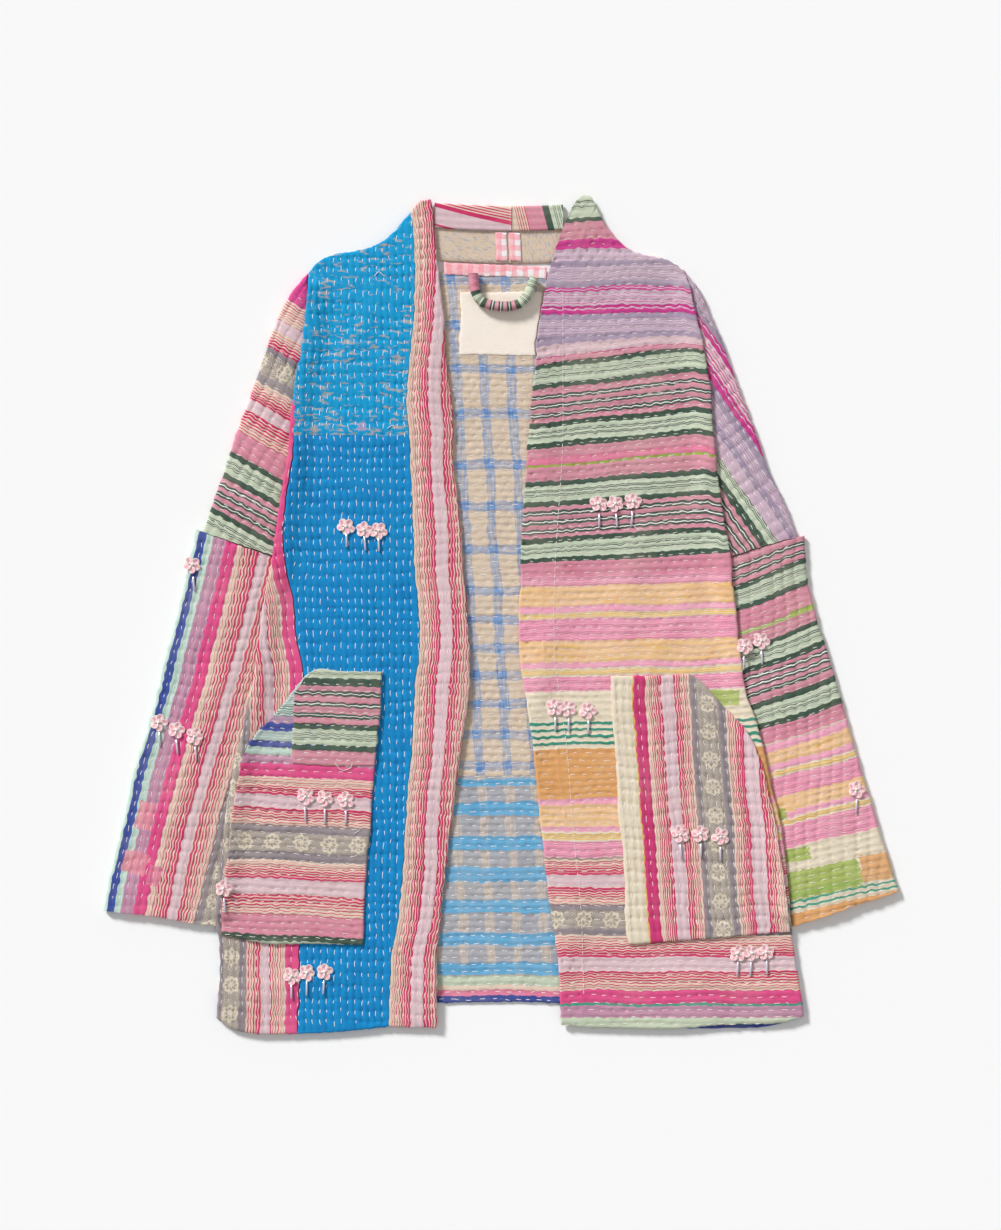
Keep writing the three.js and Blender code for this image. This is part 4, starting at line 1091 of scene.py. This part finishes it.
def build_body():
    inside = Cloth(
        "cloth_back",
        {"top": BACK_TOP, "bottom": BACK_HEM, "left": BODY_L, "right": BODY_R},
        0.0, WALL, inside_checks, 11, check_cloth(), lifted=False, stagger=1, shown=BACK_SHOWN,
    )
    declare(inside, ["back"], "inside_check")
    blue = Cloth(
        "cloth_front_left",
        {
            "top": SHOULDER_L,
            "bottom": [(-186, -386), (-153, -384), (-102, -379)],
            "left": overlapped(stretch(ARMHOLE_L, 316, 197), -1) + SIDE_SEAM[1:],
            "right": BAND_SEAM_L,
        },
        FRONT_FLOOR, WALL, down_from(318), 12, blue_cloth(), seams=("right",),
    )
    declare(blue, ["front_left"], "blue_quilt")
    side = Cloth(
        "cloth_side_left",
        {
            "top": [(-192, 195), (-190, 195), (-187, 195)],
            "bottom": [(-261, -371), (-244, -382), (-222, -387), (-187, -387)],
            "left": overlapped(stretch(BODY_L, 195, -371), -1),
            "right": [(x - 0.5, y) for x, y in SIDE_SEAM],
        },
        FRONT_FLOOR, WALL, from_right, 13, striped_cloth("side_stripes", SIDE_CLOTH),
        seams=("right", "top"),
    )
    declare(side, [], "striped_quilt")
    right = Cloth(
        "cloth_front_right",
        {"top": SHOULDER_R[::-1], "bottom": HEM_R, "left": BAND_SEAM_R, "right": overlapped(BODY_R, 1)},
        FRONT_FLOOR, WALL, across_garden, 14,
        striped_cloth("garden_stripes", GARDEN_CLOTH, patches=FRONT_PATCHES), seams=("left",), stagger=1,
    )
    declare(right, ["front_right"], "striped_quilt")
    band_left = Cloth(
        "cloth_band_left",
        {
            "top": [(-83, 370), (-76, 379), (-64, 382)],
            "bottom": [(-102, -379), (-80, -380), (-59, -380)],
            "left": [(x + 0.4, y) for x, y in BAND_SEAM_L],
            "right": OPENING_L,
        },
        FRONT_FLOOR, BAND_WALL, from_left, 15, striped_cloth("band_stripes", BAND_CLOTH), seams=("left",),
    )
    declare(band_left, ["band_left"], "band_cloth")
    band_right = Cloth(
        "cloth_band_right",
        {
            "top": [(62, 365), (72, 384), (82, 385), (88, 376)],
            "bottom": [(56, -377), (76, -379)],
            "left": OPENING_R,
            "right": [(x + 0.5, y) for x, y in BAND_SEAM_R],
        },
        FRONT_FLOOR + BAND_RISE, WALL, across_garden, 14, right.piece.data.materials[0],
        seams=("right",), stagger=1,
    )
    declare(band_right, ["band_right"], "striped_quilt")
    return {
        "back": inside, "front_left": blue, "front_side": side, "front_right": right,
        "band_left": band_left, "band_right": band_right,
    }


def build_pockets():
    left = Cloth(
        "cloth_pocket_left", POCKET_L, POCKET_FLOOR, POCKET_WALL,
        tilted(-51, 0.045), 21, striped_cloth("pocket_left_stripes", POCKET_CLOTH_L), stagger=1,
    )
    declare(left, ["pocket_left"], "pocket_cloth")
    patch = Cloth(
        "cloth_pocket_patch", POCKET_PATCH, POCKET_FLOOR + POCKET_WALL + 0.1, PATCH_WALL,
        tilted(-48, 0.03), 21, striped_cloth("patch_stripes", PATCH_CLOTH), stagger=1,
    )
    declare(patch, [], "pocket_cloth")
    right = Cloth(
        "cloth_pocket_right", POCKET_R, POCKET_FLOOR, POCKET_WALL,
        from_pocket_edge, 23, striped_cloth("pocket_right_stripes", POCKET_CLOTH_R),
    )
    declare(right, ["pocket_right"], "pocket_cloth")
    return {"pocket_left": left, "pocket_patch": patch, "pocket_right": right}


def shifted(places, dx):
    return [(x + dx, y) for x, y in places]


def build_sleeves():
    gap = SLEEVE_GAP
    (left_out, left_in), (right_in, right_out) = CROSS_SEAM_L, CROSS_SEAM_R
    upper_left = Sleeve(
        "cloth_sleeve_left_upper",
        {
            "top": [(-177, 314), (-176.8, 314), (-176.6, 314)],
            "bottom": [left_out, left_in],
            "left": [(-177, 314)] + SLEEVE_L[1:-1] + [left_out],
            "right": shifted(stretch(BODY_L, 314, left_in[1]), -gap),
        },
        SLEEVE_HEIGHT, turned((-176, 315), (-0.482, -0.876)), 31,
        striped_cloth("rose_stripes", ROSE_CLOTH), 1.2,
    )
    declare(upper_left, ["sleeve_left_upper"], "sleeve_cloth")
    lower_left = Sleeve(
        "cloth_sleeve_left_lower",
        {
            "top": [CUFF_L[0], (left_in[0] - 0.5, left_in[1] - 0.6)],
            "bottom": [CUFF_L[-1], (-320, -278), (-259, -288)],
            "left": CUFF_L,
            "right": shifted(stretch(BODY_L, left_in[1] - 0.6, CUFF_END), -gap),
        },
        CUFF_HEIGHT, from_cuff_edge, 32,
        striped_cloth("cuff_left_stripes", CUFF_CLOTH_L, patches=CUFF_PATCHES_L), 1.8,
    )
    declare(lower_left, ["sleeve_left_lower"], "sleeve_cloth")
    upper_right = Sleeve(
        "cloth_sleeve_right_upper",
        {
            "top": [(169.6, 316), (169.8, 316), (170, 316)],
            "bottom": [right_in, right_out],
            "left": shifted(stretch(BODY_R, 316, right_in[1]), gap),
            "right": [(170, 316)] + SLEEVE_R[1:-1] + [right_out],
        },
        SLEEVE_HEIGHT, turned((388.3, 0), (-0.819, -0.573)), 33,
        striped_cloth("upper_right_stripes", UPPER_CLOTH_R), 1.2,
    )
    declare(upper_right, ["sleeve_right_upper"], "sleeve_cloth")
    lower_right = Sleeve(
        "cloth_sleeve_right_lower",
        {
            "top": [(right_in[0] + 0.5, right_in[1] - 0.6), CUFF_R[0]],
            "bottom": [(268, -288), (320, -271), CUFF_R[-1]],
            "left": shifted(stretch(BODY_R, right_in[1] - 0.6, CUFF_END), gap),
            "right": CUFF_R,
        },
        CUFF_HEIGHT, down_right_sleeve, 34,
        striped_cloth("cuff_right_stripes", CUFF_CLOTH_R, patches=CUFF_PATCHES_R), 1.8,
    )
    declare(lower_right, ["sleeve_right_lower"], "sleeve_cloth")
    return {
        "sleeve_left_upper": upper_left, "sleeve_left_lower": lower_left,
        "sleeve_right_upper": upper_right, "sleeve_right_lower": lower_right,
    }


def collar_half(name, start, end, slope, material, stand):
    """Half of the collar: up from the neck, over its fold and down to its lip."""
    outside, wall, slot_air = 4.5, 2.0, 0.5
    fold, lip, foot = COLLAR["fold"], COLLAR["lip"], COLLAR["foot"]
    bend = outside / 2
    outer = [(foot, 0.0)]
    for a in np.radians(np.linspace(-90, 90, 9)):
        outer.append((fold - bend + bend * math.cos(a), bend * (1 + math.sin(a))))
    for y in np.linspace(fold - 3.5, lip + 1.2, 10):
        outer.append((y, outside + 0.35 * math.sin((fold - y) * 0.9)))
    outer += [(lip, outside - 0.7), (lip, wall + slot_air)]
    inner = [(fold - wall, wall + slot_air), (fold - wall, wall)]
    for y in np.linspace(fold - wall - 2, foot + 1, 16):
        inner.append((y, wall + 0.15 * math.sin(y * 0.8)))
    inner.append((foot, wall * 0.5))
    profile = np.array(outer + inner)
    run = np.concatenate([[0], np.cumsum(np.linalg.norm(np.diff(profile, axis=0), axis=1))])
    down = np.clip(fold - profile[:, 0], 0, 60)
    xs = np.linspace(start, end, max(8, round((end - start) / (CELL * 1.2))))
    away = (xs - COLLAR["middle"]) / (COLLAR["middle"] - COLLAR["left"])
    dip = COLLAR["dip"] * (1 - away**2)
    x = np.repeat(xs[:, None], len(profile), axis=1)
    y = profile[None, :, 0] - dip[:, None]
    puff = 0.35 * np.sin(x * 0.98 + profile[None, :, 0] * 0.8) * (profile[None, :, 1] > outside - 0.2)
    z = profile[None, :, 1] + puff
    index = np.arange(x.size).reshape(x.shape)
    ring = np.hstack([index, index[:, :1]])
    faces = grid_faces(ring)
    faces += [index[0].tolist()[::-1], index[-1].tolist()]
    if slope is None:
        uv = np.stack([profile[None, :, 0] + 0 * x, x - start - 0.25 * down[None, :]], axis=-1)
    else:
        uv = np.stack([x - start, down[None, :] + 12 - slope * (x - start)], axis=-1)
    points = np.stack([x, y, z], axis=-1).reshape(-1, 3)
    piece = new_object(name, points, faces, uv.reshape(-1, 2), material)
    piece.data.materials.append(stand)
    columns = np.arange(len(faces) - 2) % len(profile)
    parts = np.concatenate([(columns >= len(outer) - 1).astype(int), [0, 0]])
    piece.data.polygons.foreach_set("material_index", parts)
    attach(piece, BODY)
    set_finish(piece, "collar_cloth")
    return piece


def strip(name, corners, floor, wall, coordinates, seed, material, slot):
    """A tape or a label: a thin flat cloth between four corners."""
    (x0, y0), (x1, y1), (x2, y2), (x3, y3) = corners
    edges = {
        "top": [(x0, y0), (x1, y1)], "right": [(x1, y1), (x2, y2)],
        "bottom": [(x3, y3), (x2, y2)], "left": [(x0, y0), (x3, y3)],
    }
    cloth = Cloth(
        "cloth_" + name, edges, floor, wall, coordinates, seed, material, lifted=False, quilted=False,
    )
    declare(cloth, [name], slot)
    return cloth


def build_loop():
    """The hanging loop: a rolled tube of striped cloth, sewn down at both ends."""
    radius, sides, stations = 4.5, 20, 60
    path = curve(LOOP_PATH, np.linspace(0, 1, stations))
    tangent = np.gradient(path, axis=0)
    tangent /= np.linalg.norm(tangent, axis=1)[:, None]
    run = np.concatenate([[0], np.cumsum(np.linalg.norm(np.diff(path, axis=0), axis=1))])
    angle = np.linspace(0, 2 * math.pi, sides, endpoint=False)
    size = radius * (1 + 0.05 * np.sin(run * 0.9))[:, None] * (1 + 0.03 * np.cos(3 * angle))[None, :]
    aside = size * np.cos(angle)[None, :]
    x = path[:, :1] - tangent[:, 1:] * aside
    y = path[:, 1:] + tangent[:, :1] * aside
    z = LOOP_FLOOR + radius + size * np.sin(angle)[None, :]
    index = np.arange(x.size).reshape(x.shape)
    ring = np.hstack([index, index[:, :1]])
    faces = grid_faces(ring) + [index[0].tolist()[::-1], index[-1].tolist()]
    uv = np.stack([2 * radius * angle[None, :] + 0 * x, run[:, None] + 0 * x], axis=-1)
    points = np.stack([x, y, z], axis=-1).reshape(-1, 3)
    material = striped_cloth("loop_stripes", LOOP_CLOTH)
    piece = new_object("cloth_hang_loop", points, faces, uv.reshape(-1, 2), material)
    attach(piece, BODY)
    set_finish(piece, "striped_quilt")
    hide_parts("hang_loop")


def build_neck():
    left_cloth = striped_cloth("collar_left_stripes", COLLAR_CLOTH_L)
    right_cloth = striped_cloth("collar_right_stripes", COLLAR_CLOTH_R)
    stand, middle = stand_cloth(), COLLAR["middle"]
    left = collar_half("cloth_collar_left", COLLAR["left"], middle - 0.15, 0.2, left_cloth, stand)
    right = collar_half("cloth_collar_right", middle + 0.15, COLLAR["right"], None, right_cloth, stand)
    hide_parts("collar_left")
    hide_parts("collar_right")
    check = gingham()
    tape = NECK_TAPE
    drop = (tape["right"] - tape["left"]) * tape["slope"]
    corners = [
        (tape["left"], tape["top"]), (tape["right"], tape["top"] + drop),
        (tape["right"], tape["top"] + drop - tape["width"]), (tape["left"], tape["top"] - tape["width"]),
    ]
    strip("neck_tape", corners, FRONT_FLOOR, TAPE_WALL, along_tape, 41, check, "gingham")
    for name, x in SEAM_TAPES.items():
        w, top, foot = TAPE_SIZE["width"], TAPE_SIZE["top"], TAPE_SIZE["foot"]
        corners = [(x, top), (x + w, top), (x + w, foot), (x, foot)]
        strip(name, corners, TAPE_FLOOR, TAPE_WALL, level(x), 42, check, "gingham")
    left, top, foot = LABEL["left"], LABEL["top"], LABEL["foot"]
    corners = [(left, top), (LABEL["top_right"], top), (LABEL["foot_right"], foot), (left, foot)]
    satin = plain_cloth("label_satin", "label", 0.55)
    strip("label", corners, FRONT_FLOOR, LABEL_WALL, level(-100), 43, satin, "label_cloth")
    build_loop()


def trace_rows(cloth):
    """Stitches along every row, as (start, middle, end) points on the cloth's surface."""
    place = (cloth.across + row_drift(cloth.x, cloth.y, cloth.seed)) / ROW_PITCH
    fields = np.stack([cloth.x, cloth.y, cloth.z, cloth.along])
    if np.abs(np.diff(place, axis=0)).mean() > np.abs(np.diff(place, axis=1)).mean():
        place, fields = place.T, fields.transpose(0, 2, 1)
    if place[:, -1].mean() < place[:, 0].mean():
        place, fields = place[:, ::-1], fields[:, :, ::-1]
    stitches = []
    for row in range(int(math.ceil(place.min())), int(place.max()) + 1):
        inside = (place[:, 0] < row) & (place[:, -1] > row)
        if inside.sum() < 4:
            continue
        there = np.flatnonzero(inside)
        line = np.array([[np.interp(row, place[i], f[i]) for f in fields] for i in there])
        if line[-1, 3] < line[0, 3]:
            line, there = line[::-1], there[::-1]
        phase = stitch_phase(line[:, 0], line[:, 1], line[:, 3], row, cloth.seed, cloth.stagger)
        phase = np.maximum.accumulate(phase + 0.12 * math.sin(row * 2.7 + cloth.seed))
        rng = np.random.default_rng(SEED + row + 100 * cloth.seed)
        for beat in range(int(math.ceil(phase.min())), int(phase.max())):
            begin = beat + rng.uniform(-0.05, 0.05)
            end = begin + STITCH_LENGTH / STITCH_PITCH * rng.uniform(0.55, 1.2)
            if begin < phase[0] + 0.2 or end > phase[-1] - 0.2:
                continue
            at = np.array([begin, (begin + end) / 2, end])
            around = there[np.clip(np.searchsorted(phase, at[[0, 2]]) + [-1, 0], 0, len(there) - 1)]
            if abs(around[1] - around[0]) > MOST_CELLS:
                continue
            points = np.column_stack([np.interp(at, phase, line[:, k]) for k in range(3)])
            if cloth.name == "cloth_back" and not OPENING_SPAN[0] < points[0, 0] < OPENING_SPAN[1]:
                continue
            run = points[2, :2] - points[0, :2]
            square = np.array([-run[1], run[0]]) / max(float(np.linalg.norm(run)), 0.1)
            aside = rng.uniform(-0.3, 0.3) + rng.uniform(-0.4, 0.4) * np.array([-1, 0, 1])
            points[:, :2] += square * aside[:, None]
            points[1, 2] = max(points[1, 2], (points[0, 2] + points[2, 2]) / 2)
            points[:, 2] += np.array([-STITCH_SINK, STITCH_RISE, -STITCH_SINK])
            stitches.append(points)
    return stitches


def thread_group():
    """Geometry nodes that turn each short line into a round thread."""
    group = bpy.data.node_groups.new("running_stitches", "GeometryNodeTree")
    face = group.interface
    face.new_socket(name="Lines", in_out="INPUT", socket_type="NodeSocketGeometry")
    face.new_socket(name="Thread Radius", in_out="INPUT", socket_type="NodeSocketFloat")
    face.new_socket(name="Sides", in_out="INPUT", socket_type="NodeSocketInt")
    face.new_socket(name="Thread", in_out="INPUT", socket_type="NodeSocketMaterial")
    face.new_socket(name="Stitches", in_out="OUTPUT", socket_type="NodeSocketGeometry")
    nodes, links = group.nodes, group.links
    entry, leave = nodes.new("NodeGroupInput"), nodes.new("NodeGroupOutput")
    lines, ring = nodes.new("GeometryNodeMeshToCurve"), nodes.new("GeometryNodeCurvePrimitiveCircle")
    sweep, paint = nodes.new("GeometryNodeCurveToMesh"), nodes.new("GeometryNodeSetMaterial")
    real = nodes.new("GeometryNodeRealizeInstances")
    links.new(entry.outputs["Lines"], lines.inputs["Mesh"])
    links.new(entry.outputs["Thread Radius"], ring.inputs["Radius"])
    links.new(entry.outputs["Sides"], ring.inputs["Resolution"])
    links.new(lines.outputs["Curve"], sweep.inputs["Curve"])
    links.new(ring.outputs["Curve"], sweep.inputs["Profile Curve"])
    sweep.inputs["Fill Caps"].default_value = True
    links.new(sweep.outputs["Mesh"], real.inputs["Geometry"])
    links.new(real.outputs["Geometry"], paint.inputs["Geometry"])
    links.new(entry.outputs["Thread"], paint.inputs["Material"])
    links.new(paint.outputs["Geometry"], leave.inputs["Stitches"])
    return group


def socket_id(group, name):
    return next(i.identifier for i in group.interface.items_tree if i.name == name and i.in_out == "INPUT")


def settle(piece):
    """Turns the piece's node modifier into a plain mesh."""
    graph = bpy.context.evaluated_depsgraph_get()
    mesh = bpy.data.meshes.new_from_object(piece.evaluated_get(graph))
    old = piece.data
    piece.modifiers.clear()
    piece.data = mesh
    bpy.data.meshes.remove(old)


def sew(name, lines, thread, slot):
    """Thread along a list of short lines, each a few points, as one piece."""
    edges, start = [], 0
    for line in lines:
        edges += [(start + i, start + i + 1) for i in range(len(line) - 1)]
        start += len(line)
    mesh = bpy.data.meshes.new(name)
    mesh.from_pydata(in_metres(np.vstack(lines)).tolist(), edges, [])
    piece = add(name, mesh)
    group = bpy.data.node_groups.get("running_stitches") or thread_group()
    modifier = piece.modifiers.new("Thread", "NODES")
    modifier.node_group = group
    modifier[socket_id(group, "Thread Radius")] = THREAD_RADIUS * MM
    modifier[socket_id(group, "Sides")] = THREAD_SIDES
    modifier[socket_id(group, "Thread")] = thread
    settle(piece)
    smooth(piece.data)
    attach(piece, BODY)
    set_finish(piece, slot)


def sewn_line(cloths, places, shares, rise):
    """Points of a thread on the cloths, at shares of a line through places."""
    points = curve(places, shares)
    height = [surface_at(cloths, x, y, 2.2) for x, y in points]
    return np.column_stack([points, np.array(height) + rise])


def seam_line(cloths, places, pitch=6.0, long=3.6):
    """One line of running stitches along a seam or an edge."""
    count = int(length(places) / pitch)
    parts = np.array([0.0, 0.5, 1.0]) * long
    rise = (-0.25, 0.3, -0.25)
    run = count * pitch + long
    return [sewn_line(cloths, places, (i * pitch + parts) / run, rise) for i in range(1, count)]


def loose_ends(cloths):
    """Thread ends that lie about on the cloth."""
    return [sewn_line(cloths, places, np.linspace(0, 1, 7), 0.35) for places in LOOSE_THREADS]


def without_back(cloths):
    return {name: cloth for name, cloth in cloths.items() if name != "back"}


def build_stitches(cloths):
    """Running stitches over every quilted cloth, white on the blue one and unbleached on the others."""
    white, ecru = thread_color("white_thread", "thread"), thread_color("ecru_thread", "ecru")
    for name, cloth in cloths.items():
        thread = white if name in ("front_left", "back") else ecru
        sew("stitches_" + name, trace_rows(cloth), thread, cloth.piece["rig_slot"])
    right = {name: cloths[name] for name in ("front_right", "band_right", "pocket_right")}
    seams = seam_line(right, RIGHT_TOPSTITCH) + seam_line(right, shifted(POCKET_R["left"], 3.2))
    sew("seam_stitches", seams, ecru, "striped_quilt")
    sew("loose_threads", loose_ends(without_back(cloths)), white, "blue_quilt")


def lathe(profile, sides, place):
    """A closed round shape: its profile is (radius, height), pole to pole, and place sets each point."""
    points, local = [place(0, 0, profile[0][1])], [(0, 0)]
    for radius, height in profile[1:-1]:
        for k in range(sides):
            a = 2 * math.pi * k / sides
            x, y = radius * math.cos(a), radius * math.sin(a)
            points.append(place(x, y, height))
            local.append((x, y))
    points.append(place(0, 0, profile[-1][1]))
    local.append((0, 0))
    faces, rings, last = [], len(profile) - 2, len(points) - 1
    for k in range(sides):
        m = (k + 1) % sides
        faces.append([0, 1 + m, 1 + k])
        for i in range(rings - 1):
            low, high = 1 + i * sides, 1 + (i + 1) * sides
            faces.append([low + k, low + m, high + m, high + k])
        faces.append([last, last - sides + k, last - sides + m])
    return points, faces, local


def petal(x, y, z, turn):
    """A cupped round sequin, tipped so that each lies over the next."""
    size, tip = PETAL_SIZE / 2, math.radians(PETAL_TIP)
    profile = [(0, 0), (0.6 * size, 0.12), (0.97 * size, 0.5), (size, 0.62), (0.93 * size, 0.7)]
    profile += [(0.6 * size, 0.42), (0.18 * size, 0.32), (0, 0.12)]

    def place(a, b, h):
        b, h = b * math.cos(tip) - h * math.sin(tip), b * math.sin(tip) + h * math.cos(tip)
        c, s = math.cos(turn), math.sin(turn)
        return (x + a * c - b * s, y + a * s + b * c, z + h)

    return lathe(profile, 16, place)


def pearl(x, y, z, size):
    profile = [(size * math.sin(a), -size * math.cos(a)) for a in np.linspace(0, math.pi, 7)]
    return lathe(profile, 10, lambda a, b, h: (x + a, y + b, z + h))


def bugle(x, top, foot, z, lean):
    """A stem: one long glass bead laid flat, its bore showing at both ends."""
    r, long = STEM_RADIUS, top - foot
    profile = [(0, 0.6), (0.45 * r, 0.5), (0.55 * r, 0), (r, 0.2), (r, long - 0.2), (0.55 * r, long)]
    profile += [(0.45 * r, long - 0.5), (0, long - 0.6)]
    return lathe(profile, 10, lambda a, b, h: (x + a + lean * h, top - h, z + r + b))


def gather(name, shapes, material):
    """Many small shapes as one piece."""
    points, faces, local = [], [], []
    for p, f, q in shapes:
        faces += [[len(points) + i for i in face] for face in f]
        points += p
        local += q
    piece = new_object(name, points, faces, local, material)
    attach(piece, BODY)
    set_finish(piece, "label_cloth")


def build_flowers(cloths):
    """Flowers of five cupped sequins round a pearl, each on a bugle-bead stem."""
    sequins, pearls, stems = [], [], []
    rng = np.random.default_rng(SEED + 40)
    shown = without_back(cloths)
    for x, y, drop in FLOWERS:
        z = surface_at(shown, x, y, 6.0) + 0.1
        first = rng.uniform(0, 2 * math.pi)
        for k in range(PETALS):
            a = first + 2 * math.pi * (k + rng.uniform(-0.12, 0.12)) / PETALS
            reach = FLOWER_RING * rng.uniform(0.85, 1.2)
            sequins.append(petal(x + reach * math.cos(a), y + reach * math.sin(a), z + 0.7, a))
        pearls.append(pearl(x, y, z + 1.9, 1.35))
        foot = y - drop - 2
        stem = surface_at(shown, x, foot + 6, 4.0) + 0.1
        stems.append(bugle(x + rng.uniform(-0.8, 0.8), foot + 13, foot, stem, rng.uniform(-0.08, 0.08)))
    # The second dye of each is a painted highlight
    gather("sequin_petals", sequins, bright("sequin_pink", "sequin", "pearl", 0.25, dimple=True))
    gather("flower_pearls", pearls, bright("centre_pearl", "pearl", "white", 0.15))
    gather("bead_stems", stems, bright("stem_bead", "bead", "white", 0.15, metallic=0.4))


def build_stage():
    """A nearly white surface, soft light from above and a weaker one from the side."""
    corners = [(x * FLOOR_SIZE, y * FLOOR_SIZE, 0) for x, y in ((-1, -1), (1, -1), (1, 1), (-1, 1))]
    mesh = bpy.data.meshes.new("floor")
    mesh.from_pydata(corners, [], [[0, 1, 2, 3]])
    floor = add("floor", mesh)
    floor.location.z = -0.0002
    white = bpy.data.materials.new("white_table")
    white.use_nodes = True
    base = white.node_tree.nodes["Principled BSDF"]
    base.inputs["Base Color"].default_value = (FLOOR_TONE, FLOOR_TONE, FLOOR_TONE, 1)
    base.inputs["Roughness"].default_value = 0.9
    mesh.materials.append(white)
    floor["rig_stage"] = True
    world = bpy.data.worlds.new("studio")
    world.use_nodes = True
    sky = world.node_tree.nodes["Background"]
    sky.inputs["Color"].default_value = (1, 1, 1, 1)
    sky.inputs["Strength"].default_value = SKY_STRENGTH
    bpy.context.scene.world = world
    for name, (place, strength, softness) in LAMPS.items():
        data = bpy.data.lights.new(name, "SUN")
        data.energy = strength
        data.angle = math.radians(softness)
        lamp = add(name, data)
        lamp.location = place
        lamp.rotation_euler = aim(place)


def aim(place):
    """Turn that points a lamp at the middle of the jacket."""
    x, y, z = place
    return (math.atan2(math.hypot(x, y), z), 0.0, math.atan2(x, -y) if (x or y) else 0.0)


def build_camera():
    """Straight down, as the picture was taken."""
    picture_height = 1.1316
    lens, sensor = 85.0, 36.0
    data = bpy.data.cameras.new("camera")
    data.lens, data.sensor_width = lens, sensor
    camera = add("camera", data)
    camera.location = (-0.0005, 0.0008, picture_height * lens / sensor + 0.004)
    bpy.context.scene.camera = camera
    bpy.context.scene.view_settings.view_transform = "Standard"


def main():
    build_camera()
    build_stage()
    cloths = {**build_body(), **build_pockets(), **build_sleeves()}
    build_neck()
    build_stitches(cloths)
    build_flowers(cloths)
    boxes = {name: [[float(v) for v in corner] for corner in box] for name, box in (("cad", CAD_BOX), ("visual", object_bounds()))}


main()
